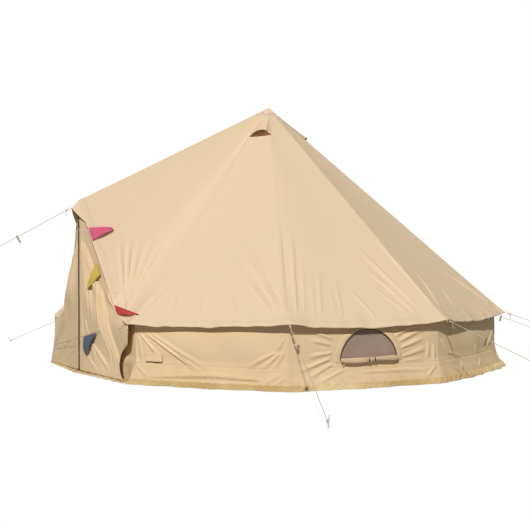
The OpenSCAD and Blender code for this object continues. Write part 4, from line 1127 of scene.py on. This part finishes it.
thicken(window_ties, 0.0012, 1.0)
window_tails = sew("window_tails", tail_grids, roll_canvas, "tent")
thicken(window_tails, CLOTH_THICKNESS)
toggle_wood = wood_material("toggle_wood", TOGGLE_BROWN)
sew("window_toggles", toggle_grids, toggle_wood, "tent", closed=True)


# Skirt: a band of the same canvas sewn under the wall and drawn out to the ground all round.
# It stands out from the wall's foot and is pulled into long shallow creases.
SKIRT_FOOT = 0.004
SKIRT_OFF = 0.001

skirt_sheet = creased(wall_grid(22, lambda k, across: WALL_LOW + 0 * across, SKIRT_FOOT), SKIRT_OFF)
skirt_layers = {
    "seam": wall_seam, "along": skirt_sheet[..., 2], "hem": WALL_LOW - skirt_sheet[..., 2], "run": wall_run}
skirt_canvas = canvas_material("skirt_canvas", shade(WALL_CREAM_WITH_PAINTED_LIGHT, 1.02), WALL_DRIFT_WITH_PAINTED_LIGHT, 0.5, (SEAM, HEM))
skirt = sew("skirt_sheet", [skirt_sheet], skirt_canvas, "tent", layers=skirt_layers)
thicken(skirt, CLOTH_THICKNESS)
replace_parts(skirt, "skirt_band")


# Mud flap: a strip of thin yellowed canvas sewn to the skirt's lower edge and left to crumple on the ground.
# In front of the door it is a plain flat strip.
MUD_YELLOW = (0.860, 0.690, 0.400)
MUD_SHADE = (0.620, 0.440, 0.205)
MUD_WIDTH = 0.062
MUD_COLUMNS = (260, 240, 200) + (80,) * 6
MUD_SEAM = 0.038
MUD_TOP = 0.037
MUD_SWELL = 0.009
MUD_CRUMPLE = 0.017
MUD_LOWEST = 0.0025
SILL_BACK = 0.120
SILL_DEPTH = 0.174


def crumple(run, share):
    """An uneven crumple of thin cloth: waves of several lengths, made creases by their absolute value."""
    drift = 2 * np.sin(3.1 * run) + 1.5 * np.sin(7.7 * run + 1)
    wave = np.abs(np.sin(37 * run + 4 * share + drift))
    wave = wave + 0.7 * np.abs(np.sin(71 * run - 5 * share + 2 * drift))
    return wave + 0.6 * np.abs(np.sin(133 * run + 9 * share - drift)) - 1.2


def both_sides(sheet):
    """A sheet on the right of the door, and its twin on the left."""
    return [sheet, mirrored(sheet[:, ::-1])]


mud_share = np.linspace(0, 1, 12)[:, None]
mud_panel, mud_across = panel_columns(MUD_COLUMNS)
mud_line = wall_at(mud_panel, mud_across, MUD_TOP)
mud_outs = unit(np.gradient(mud_line, axis=0)[:, [1, 0, 2]] * [1, -1, 0])
mud_run = run_along(mud_line)
mud_reach = (MUD_WIDTH + 0.012 * np.sin(9 * mud_run) + 0.010 * np.sin(23 * mud_run + 1)) * mud_share
mud_sheet = mud_line + (mud_reach - 0.004)[..., None] * mud_outs
mud_crumple = crumple(mud_run, mud_share) * np.sin(np.pi * np.clip(mud_share * 0.9 + 0.05, 0, 1))
mud_fall = MUD_TOP * (1 - mud_share) ** 1.3 + MUD_SWELL * (1 - mud_share ** 2)
mud_sheet[..., 2] = np.maximum(MUD_LOWEST, mud_fall + MUD_CRUMPLE * mud_crumple)
mud_sheet[0, :, 2] = MUD_SEAM
mud_canvas = canvas_material("mud_flap_canvas", MUD_YELLOW, MUD_SHADE, 0.5)
mud_flap = sew("mud_flap_sheet", [mud_sheet], mud_canvas, "tent")
thicken(mud_flap, THIN_CLOTH, 1.0)
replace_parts(mud_flap, "mud_flap")

sill_along = np.linspace(0, 1, 40)
sill_share = np.linspace(0, 1, 8)[:, None]
sill_middle = DOOR_TOP * [1, 1, 0]
sill_line = sill_middle + (wall_corner(0, np.array(0.0)) - sill_middle) * sill_along[:, None]
sill_sheet = sill_line + (SILL_BACK - SILL_DEPTH * sill_share)[..., None] * np.array([0.0, 1.0, 0.0])
sill_sheet[..., 2] = 0.008 + 0.010 * arch(sill_share) + 0.003 * np.sin(40 * sill_along + 3 * sill_share)
sill_grids = both_sides(sill_sheet)
door_sill = sew("door_sill_strip", sill_grids, mud_canvas, "tent")
thicken(door_sill, THIN_CLOTH, 1.0)


# Door head and hood: the fixed canvas above the flaps, sewn to the roof's edge, with the zip's closed end.
# Over it stands a small peaked hood of roof canvas, from whose tip the front guy rope pulls.
HEAD_TOP = 1.741
HEAD_LOW = 1.462
HEAD_INSET = 0.006
HOOD_LEG_SHARE = 0.14
HOOD_BOW = 0.016
LEG_AXIS = unit(DOOR_TOP - LEG_FOOT)
DOOR_TAN = (0.850, 0.650, 0.412)
DOOR_SHADE = (0.790, 0.596, 0.370)


def leg_x(z):
    """Distance from the zip to the right leg's line at a height."""
    return LEG_FOOT[0] * (DOOR_TOP[2] - z) / DOOR_TOP[2]


door_canvas = canvas_material("door_canvas", DOOR_TAN, DOOR_SHADE, 0.3, (SEAM,))
head_down, head_across = np.meshgrid(np.linspace(0, 1, 12), np.linspace(0, 1, 12), indexing="ij")
head_z = HEAD_TOP + (HEAD_LOW - HEAD_TOP) * head_down
head_off = 0.004 * np.sin(6 * head_across) * head_down - 0.009 * head_down ** 3
head_sheet = door_plane((leg_x(head_z) - HEAD_INSET) * head_across, head_z, head_off)
head_grids = both_sides(head_sheet)
head_layers = {"seam": (1 - head_across) * 0.15, "along": head_z}
door_head = sew("door_head_sheet", head_grids, door_canvas, "tent", layers=head_layers)
thicken(door_head, CLOTH_THICKNESS)
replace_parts(door_head, "door_head")

roof_out = unit(np.cross(DOOR_TOP - APEX, leg_line(FLARE_FROM) - APEX))
roof_away = unit(np.cross(LEG_AXIS, roof_out))
hood_low = leg_line(HOOD_LEG_SHARE) + roof_out * 0.004 + roof_away * 0.010
hood_top = DOOR_TOP + 0.012 * unit(APEX - DOOR_TOP) + [0, 0, 0.006]
hood_down, hood_across = np.meshgrid(np.linspace(0.02, 1, 14), np.linspace(0, 1, 16), indexing="ij")
hood_rim = HOOD_TIP + (hood_low - HOOD_TIP) * hood_across[..., None]
hood_bow = HOOD_BOW * arch(hood_across) * hood_down * (1 - hood_down / 2)
hood_sheet = hood_top + hood_down[..., None] * (hood_rim - hood_top) + hood_bow[..., None] * door_out
hood_pair = both_sides(hood_sheet)
hood_seams = {"seam": (1 - hood_down) * 0.2, "along": hood_across * 0.25}
hood_canvas = canvas_material("hood_canvas", CANVAS_CREAM, CANVAS_SHADE, 0.0, (SEAM,))
door_hood = sew("door_hood_sheet", hood_pair, hood_canvas, "tent", layers=hood_seams)
thicken(door_hood, CLOTH_THICKNESS)
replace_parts(door_hood, "door_hood")


# Door flaps: two curtains of canvas hung from the roof's edge along the legs, with a zip between them.
# Each falls in long pleats. Its lower outer corner is loose, so its edge stands out in front of the return.
FLAP_TOP = 1.480
FLAP_LOW = 0.025
FLAP_ROWS = 110
FLAP_COLUMNS = 110
FLAP_SOFTENING = 120
ZIP_GAP = 0.0135
UPPER_ROWS = 46
TURNED_ROWS = 20
FLAP_FOLD_WIDTH = 0.85
FLAP_FOLD_DEPTH = 1.7
FLAP_CURL = 0.030
FLAP_WAVE = 0.006
LEFT_BILLOW = 0.055
LEFT_CALM = 0.7
CALM_EDGES = (0, 0.08, 0.95, 1)
LOOSE_EDGE = np.array([
    [1.045, -2.262, 0.520], [1.035, -2.260, 0.478], [0.985, -2.240, 0.351], [0.850, -2.232, 0.275],
    [0.785, -2.240, 0.221], [0.770, -2.252, 0.140], [0.860, -2.276, 0.062], [1.020, -2.296, 0.022]])
LEFT_EDGE = np.array([
    [1.045, -2.262, 0.520], [1.052, -2.258, 0.440], [1.054, -2.262, 0.330], [1.052, -2.275, 0.200],
    [1.060, -2.288, 0.100], [1.072, -2.298, 0.014]])
FLAP_FOLDS = (
    (0.060, 1.42, 0.200, 0.55, 0.035, 0.012), (0.100, 1.38, 0.300, 0.50, 0.035, 0.014),
    (0.150, 1.30, 0.440, 0.55, 0.040, 0.022), (0.200, 1.22, 0.560, 0.35, 0.040, 0.022),
    (0.280, 1.10, 0.660, 0.10, 0.040, 0.020), (0.400, 0.90, 0.780, 0.05, 0.040, 0.020),
    (0.520, 0.72, 0.860, 0.03, 0.038, 0.018), (0.030, 0.80, 0.140, 0.13, 0.030, 0.006),
    (0.120, 0.60, 0.400, 0.06, 0.036, 0.006), (0.240, 0.36, 0.700, 0.02, 0.034, 0.011),
    (0.100, 0.24, 0.480, 0.02, 0.026, 0.008))

flap_share = np.linspace(0, 1, FLAP_ROWS)
flap_across = np.linspace(0, 1, FLAP_COLUMNS)
upper_edge = leg_line(np.linspace(1 - FLAP_TOP / DOOR_TOP[2], FLARE_FROM, UPPER_ROWS))
turned_edge = door_edge(np.linspace(EDGE_BEND, 0.985, TURNED_ROWS + 1)[1:]) - [0, 0, 0.006]
flap_inner = door_plane(ZIP_GAP, FLAP_TOP + (FLAP_LOW - FLAP_TOP) * flap_share)


def flap_cloth(loose):
    """A flap as straight rows from the zip to its outer edge, smoothed down its length so that it hangs soft.
    loose is the chain of points that its lower outer edge follows."""
    loose_rows = FLAP_ROWS - UPPER_ROWS - TURNED_ROWS
    loose_edge = chain_at(loose, np.linspace(0, len(loose) - 1, loose_rows))
    outer = np.concatenate([upper_edge, turned_edge, loose_edge])
    sheet = flap_inner[:, None] + (outer - flap_inner)[:, None] * flap_across[:, None]
    for turn in range(FLAP_SOFTENING):
        sheet[1:-1, :-1] += (sheet[:-2, :-1] - 2 * sheet[1:-1, :-1] + sheet[2:, :-1]) / 4
    return sheet


flap_sheet = flap_cloth(LOOSE_EDGE)
left_sheet = flap_cloth(LEFT_EDGE)
flap_normals = grid_normals(flap_sheet)
flap_lines = [(door_plane(x, z), door_plane(far_x, far_z), FLAP_FOLD_WIDTH * width, FLAP_FOLD_DEPTH * depth)
              for x, z, far_x, far_z, width, depth in FLAP_FOLDS]
flap_lift = sum(fold(flap_sheet, flap_normals, *line) for line in flap_lines)
flap_down = flap_share[:, None]
flap_curl = np.exp(-((flap_down - 0.40) / 0.05) ** 2) * np.exp(-((1 - flap_across) / 0.12) ** 2)
flap_calm = plateau(flap_across, *CALM_EDGES)
flap_lift = (flap_lift + FLAP_CURL * flap_curl) * flap_calm
flap_lift = flap_lift + FLAP_WAVE * np.sin(2 * np.pi * flap_across) * flap_down
billow = LEFT_BILLOW * np.exp(-((flap_down - 0.38) / 0.16) ** 2) * np.sin(np.pi * flap_across) ** 1.5
right_flap = flap_sheet + flap_lift[..., None] * door_out
left_flap = mirrored((left_sheet + (LEFT_CALM * flap_lift + billow)[..., None] * door_out)[:, ::-1])

# A flap bends beside the leg, so it is taken off the body that sew put it on and left where it hangs
hinge_way = unit(np.cross(LEG_AXIS, door_out))
hinge_way = hinge_way * -np.sign(hinge_way[0])
for name, grid, side in (("door_flap_right", right_flap, 1), ("door_flap_left", left_flap, -1)):
    layers = {"seam": flap_across[::side] * 0.6, "along": flap_sheet[:, ::side, 2]}
    flap = sew(name + "_sheet", [grid], door_canvas, "tent", layers=layers)
    thicken(flap, CLOTH_THICKNESS)
    flap.parent = None
    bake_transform(flap)
    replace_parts(flap, name)


# Zip: brown tape with a coil of teeth, sewn to the right flap's edge, and carried on up the door head.
# Its slider is cast metal with a flat pull.
ZIP_WIDTH = 0.024
TOOTH_PITCH = 0.0065
SLIDER_BRASS = (0.50, 0.40, 0.24)
ZIP_BROWN = (0.120, 0.055, 0.028)
TAPE_THICKNESS = 0.001
TOOTH_WIRE = 0.0008
TOOTH_REACH = 0.0027


def tape_grid(z, off=0.0):
    """A strip of tape down a row of heights, bowed forward across its width and set off in front."""
    across = np.linspace(-0.5, 0.5, 9)
    y = DOOR_TOP[1] - 0.0012 - 0.0016 * np.cos(np.pi * across) - off
    return np.stack(np.broadcast_arrays(across * ZIP_WIDTH, y, z[:, None]), axis=-1)


zip_tape = canvas_material("zip_tape", ZIP_BROWN, shade(ZIP_BROWN, 0.7), 0.3)
tape_sheet = tape_grid(np.linspace(FLAP_TOP, FLAP_LOW, 60))
zip_strip = sew("door_zip_tape", [tape_sheet], zip_tape, "door_flap_right")
thicken(zip_strip, TAPE_THICKNESS)
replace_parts(zip_strip, "door_zip")
coil_z = np.linspace(FLAP_TOP - 0.004, FLAP_LOW + 0.004, 2600)[:, None]
coil_turn = coil_z * 2 * np.pi / TOOTH_PITCH
coil_out = np.cos(coil_turn) * np.array([1.0, 0, 0]) + 0.45 * np.sin(coil_turn) * np.array([0, 1.0, 0])
coil_path = np.array([0, DOOR_TOP[1] - 0.0035, 0]) + coil_z * [0, 0, 1] + coil_out * TOOTH_REACH
sew("door_zip_coil", [tube(coil_path, TOOTH_WIRE, coil_out, 5)], moulded_material("zip_coil", ZIP_BROWN, 0.5),
    "door_flap_right", closed=True)

closed_tape = tape_grid(np.linspace(1.64, FLAP_TOP + 0.014, 10), 0.002)
thicken(sew("door_head_zip_tape", [closed_tape], zip_tape, "tent"), TAPE_THICKNESS)
dress(["zip_slider"], steel_material("zip_metal", SLIDER_BRASS))


# Cable port: a small canvas flap with a hemmed edge, sewn along its top to the first wall panel.
# It hangs over a slot for a cable. Under the flap's edge a dark brown strip is painted shadow: the shaded
# slot's dark line.
PORT_WIDTH = 0.185
PORT_HEIGHT = 0.080
PORT_TOP = 0.288
PORT_PLACE = 0.145
PORT_OFF = 0.008

port_middle = PORT_TOP - PORT_HEIGHT / 2
port_right = unit(wall_at(0, PORT_PLACE + 0.02, port_middle) - wall_at(0, PORT_PLACE - 0.02, port_middle))
port_rise = wall_at(0, PORT_PLACE, port_middle + 0.02) - wall_at(0, PORT_PLACE, port_middle - 0.02)
port_out = unit(np.cross(port_right, port_rise))
port_up = np.cross(port_out, port_right)
port_down, port_across = np.meshgrid(np.linspace(0, 1, 12), np.linspace(-0.5, 0.5, 22), indexing="ij")
port_lift = PORT_OFF + 0.002 + 0.014 * port_down ** 2 + 0.003 * np.sin(7 * port_across) * port_down
port_point = wall_at(0, PORT_PLACE, port_middle)
port_sheet = (port_point + (port_across * PORT_WIDTH)[..., None] * port_right
              + ((0.5 - port_down) * PORT_HEIGHT)[..., None] * port_up + port_lift[..., None] * port_out)
port_edge = np.minimum((1 - port_down) * PORT_HEIGHT, (0.5 - np.abs(port_across)) * PORT_WIDTH)
port_layers = {"seam": port_edge, "along": (port_across + port_down) * PORT_WIDTH}
port_canvas = canvas_material("port_canvas", WALL_CREAM_WITH_PAINTED_LIGHT, WALL_DRIFT_WITH_PAINTED_LIGHT, 0.1, (SEAM,))
port_flap = sew("cable_port_flap_sheet", [port_sheet], port_canvas, "cable_port_flap",
                layers=port_layers)
thicken(port_flap, CLOTH_THICKNESS)
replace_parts(port_flap, "cable_port_flap")

# Painted shadow: a strip of the dark zip-tape cloth under the flap's edge stands for the shade in the slot.
slot_across = np.linspace(-0.5, 0.5, 24)
slot_down = np.linspace(-0.004, 0.013, 4)[:, None] * (1 - 0.9 * np.abs(2 * slot_across) ** 3)
slot_shadow_sheet = (port_point + port_out * 0.007 + (slot_across * 0.94 * PORT_WIDTH)[:, None] * port_right
              - (PORT_HEIGHT / 2 + slot_down)[..., None] * port_up)
sew("cable_port_painted_shadow", [slot_shadow_sheet], zip_tape, "tent")


# Bunting: red string tied along the right door leg and on towards the eave corner, and across the door in two
# lengths that part with the flaps. Four hemmed cotton pennants, pink, red, yellow and blue, are sewn to it.
STRING_RED = (0.42, 0.10, 0.085)
STRING_RADIUS = 0.002
STRING_OFF = 0.006
KNOT_RADIUS = 0.006
PENNANT_ROWS = 24
PENNANT_COLUMNS = 13
PENNANT_THICKNESS = 0.0008
PENNANT_HEM = 0.012
PENNANT_PINK = (0.74, 0.130, 0.250)
PENNANT_RED = (0.62, 0.072, 0.062)
PENNANT_YELLOW = (0.80, 0.600, 0.110)
PENNANT_BLUE = (0.120, 0.155, 0.205)
LOWER_STRING = np.array([
    [0.640, 0.494], [0.520, 0.468], [0.405, 0.442], [0.290, 0.416], [0.175, 0.390], [0.030, 0.352]])
LEFT_STRING = np.array([[0.030, 0.330], [0.300, 0.295], [0.600, 0.250], [0.860, 0.215]])

string_material = rope_material("bunting_string", STRING_RED)


def string(name, path, side, body):
    """A length of the string along a path."""
    return sew(name, [tube(path, STRING_RADIUS, side, 6)], string_material, body, closed=True)


def door_string(places, off):
    """A path across the right half of the door through places given as x and z."""
    chain = door_plane(places[:, 0], places[:, 1], off)
    return chain_at(chain, np.linspace(0, len(places) - 1, 50))


leg_string = leg_line(np.linspace(0.15, FLARE_FROM, 60)) + door_out * STRING_OFF
edge_string = door_edge(np.linspace(EDGE_BEND, 0.95, 30)[1:]) + door_out * STRING_OFF
string_path = np.concatenate([leg_string, edge_string])
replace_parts(string("bunting_string_cord", string_path, door_out, "tent"), "bunting_string")
knot_turn = np.linspace(0, 6 * np.pi, 40)[:, None]
knot_round = np.cos(knot_turn) * door_out + np.sin(knot_turn) * np.array([0, 0, 1.0])
knot_path = string_path[-1] + knot_round * KNOT_RADIUS + np.linspace(-0.01, 0.01, 40)[:, None] * [1, 0, 0]
knot_tail = string_path[-1] + np.linspace(0, 1, 16)[:, None] * [-0.10, -0.035, -0.05]
knot_tail = knot_tail + 0.012 * np.sin(np.linspace(0, 7, 16))[:, None] * np.array([0, 0, 1.0])
knot_tubes = [tube(knot_path, 0.0022, knot_round, 6), tube(knot_tail, STRING_RADIUS, door_out, 6)]
sew("bunting_knot", knot_tubes, string_material, "tent", closed=True)
string("bunting_string_right", door_string(LOWER_STRING, 0.056), door_out, "door_flap_right")
left_path = door_string(LEFT_STRING, 0.060 + 0.1 * LEFT_STRING[:, 0])
string("bunting_string_left", mirrored(left_path), mirrored(door_out), "door_flap_left")


def pennant_material(name, colour):
    """Thin dyed cotton: a fine weave, a slightly faded middle and a darker doubled hem at the string."""
    material, tree, shader = blank_material(name)
    cloth = node(tree, "Group", {"Tone": shade(colour), "Shade": shade(colour, 0.88)}, node_tree=canvas_group)
    hem = node(tree, "Attribute", attribute_name="hem")["Fac"]
    double = math(tree, "MULTIPLY", math(tree, "LESS_THAN", hem, PENNANT_HEM), 0.5)
    feed(tree, shader, {
        "Base Color": mix(tree, double, cloth["Color"], shade(colour, 0.6)), "Roughness": cloth["Roughness"],
        "Normal": bump(tree, cloth["Height"], 0.2, 0.0005), "Specular IOR Level": 0.2})
    return material


def pennant(name, colour, upper, lower, tip, bow, flutter, blunt):
    """A pennant from two points of its string to its tip: its width runs out to a blunt or sharp end.
    It bows off its plane along its length and flutters across it."""
    rows, columns = np.linspace(0, 1, PENNANT_ROWS), np.linspace(0.5, -0.5, PENNANT_COLUMNS)
    run, across = np.meshgrid(rows, columns, indexing="ij")
    middle = (upper + lower) / 2
    out = unit(np.cross(tip - middle, upper - lower))
    width = (1 - run) ** 0.9 * (1 - blunt) + blunt * (1 - 0.45 * run)
    lift = bow * np.sin(np.pi * run) + flutter * np.sin(7 * run + 5 * across) * run
    sheet = (middle + run[..., None] * (tip - middle) + (across * width)[..., None] * (upper - lower)
             + lift[..., None] * out)
    length = np.linalg.norm(tip - middle)
    cotton = pennant_material(name + "_cotton", colour)
    piece = sew(name + "_sheet", [sheet], cotton, name, layers={"hem": run * length})
    thicken(piece, PENNANT_THICKNESS, 0.0)
    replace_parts(piece, name)


pink_upper, pink_lower = (leg_line(share) + roof_out * 0.012 + roof_away * 0.004 for share in (0.165, 0.240))
pink_tip = (pink_upper + pink_lower) / 2 + roof_away * 0.235 + roof_out * 0.016 + LEG_AXIS * 0.005
pennant("pennant_pink", PENNANT_PINK, pink_upper, pink_lower, pink_tip, 0.010, 0.006, 0.25)
red_upper, red_lower = (door_edge(share) + door_out * 0.012 + roof_out * 0.006 for share in (0.62, 0.74))
red_tip = eave_corners[0] + [0.019, 0.101, 0.095]
pennant("pennant_red", PENNANT_RED, red_upper, red_lower, red_tip, 0.009, 0.005, 0.06)
yellow_lower, yellow_upper = (door_plane(leg_line(share)[0] - 0.026, leg_line(share)[2], 0.018)
                              for share in (0.43, 0.36))
yellow_tip = door_plane(yellow_lower[0] - 0.225, yellow_lower[2] - 0.160, 0.040)
pennant("pennant_yellow", PENNANT_YELLOW, yellow_lower, yellow_upper, yellow_tip, 0.009, 0.006, 0.05)
blue_upper, blue_lower, blue_tip = door_plane([0.405, 0.175, 0.205], [0.436, 0.383, 0.205], 0.055)
pennant("pennant_blue", PENNANT_BLUE, blue_upper, blue_lower, blue_tip, 0.009, 0.006, 0.10)


# The floor, the sun and the sky: a pale floor that stays white to the camera but still takes the tent's
# shadow, a warm sun from behind the camera's left shoulder, and an even pale sky.
SUN_TURN = 46.0
SUN_HEIGHT = 39.0
SUN_STRENGTH = 2.62
SUN_SIZE = 2.0
SKY_STRENGTH = 0.18
FLOOR_GREY = 0.34
FLOOR_GLOW = 0.77
SUN_COLOUR = (1.0, 0.985, 0.955)
WHITE = (1.0, 1.0, 1.0, 1.0)
FLOOR_HALF = 60
FLOOR_DROP = 0.002

floor_corners = [(x * FLOOR_HALF, y * FLOOR_HALF, 0) for x, y in ((-1, -1), (1, -1), (1, 1), (-1, 1))]
floor_mesh = bpy.data.meshes.new("floor")
floor_mesh.from_pydata(floor_corners, [], [(0, 1, 2, 3)])
floor = bpy.data.objects.new("floor", floor_mesh)
floor.location.z = -FLOOR_DROP
bpy.context.scene.collection.objects.link(floor)


def seen_rays(tree):
    """1 for rays that show a surface to the camera, directly, in gloss or through glass."""
    rays = node(tree, "LightPath")
    seen = math(tree, "MAXIMUM", rays["Is Camera Ray"], rays["Is Glossy Ray"])
    return math(tree, "MAXIMUM", seen, rays["Is Transmission Ray"])


floor_material, floor_tree, floor_shader = blank_material("floor")
floor_mesh.materials.append(floor_material)
floor_grain = node(floor_tree, "TexNoise", {"Scale": 3.0, "Detail": 3.0})[0]
floor_greys = [shade((FLOOR_GREY,) * 3, factor) for factor in (0.98, 1.02)]
feed(floor_tree, floor_shader, {
    "Base Color": mix(floor_tree, floor_grain, *floor_greys),
    "Roughness": 1.0, "Specular IOR Level": 0.0, "Emission Color": WHITE,
    "Emission Strength": math(floor_tree, "MULTIPLY", seen_rays(floor_tree), FLOOR_GLOW)})

sun_way = -polar(np.cos(np.radians(SUN_HEIGHT)), SUN_TURN, np.sin(np.radians(SUN_HEIGHT)))
sun_side = unit(np.cross(sun_way, [0, 0, 1]))
sun_axes = np.stack([sun_side, np.cross(sun_side, sun_way), -sun_way], axis=1)
sun = bpy.data.objects.new("sun", bpy.data.lights.new("sun", "SUN"))
sun.data.energy = SUN_STRENGTH
sun.data.angle = np.radians(SUN_SIZE)
sun.data.color = SUN_COLOUR
sun.matrix_world = Matrix(sun_axes.tolist()).to_4x4()
bpy.context.scene.collection.objects.link(sun)

world = bpy.data.worlds.new("sky")
world.use_nodes = True
bpy.context.scene.world = world
sky_tree = world.node_tree
sky_level = node(sky_tree, "MapRange", {0: seen_rays(sky_tree), 3: SKY_STRENGTH, 4: 1.0})[0]
feed(sky_tree, sky_tree.nodes["Background"], {"Color": WHITE, "Strength": sky_level})

bpy.context.scene.view_settings.view_transform = "Standard"
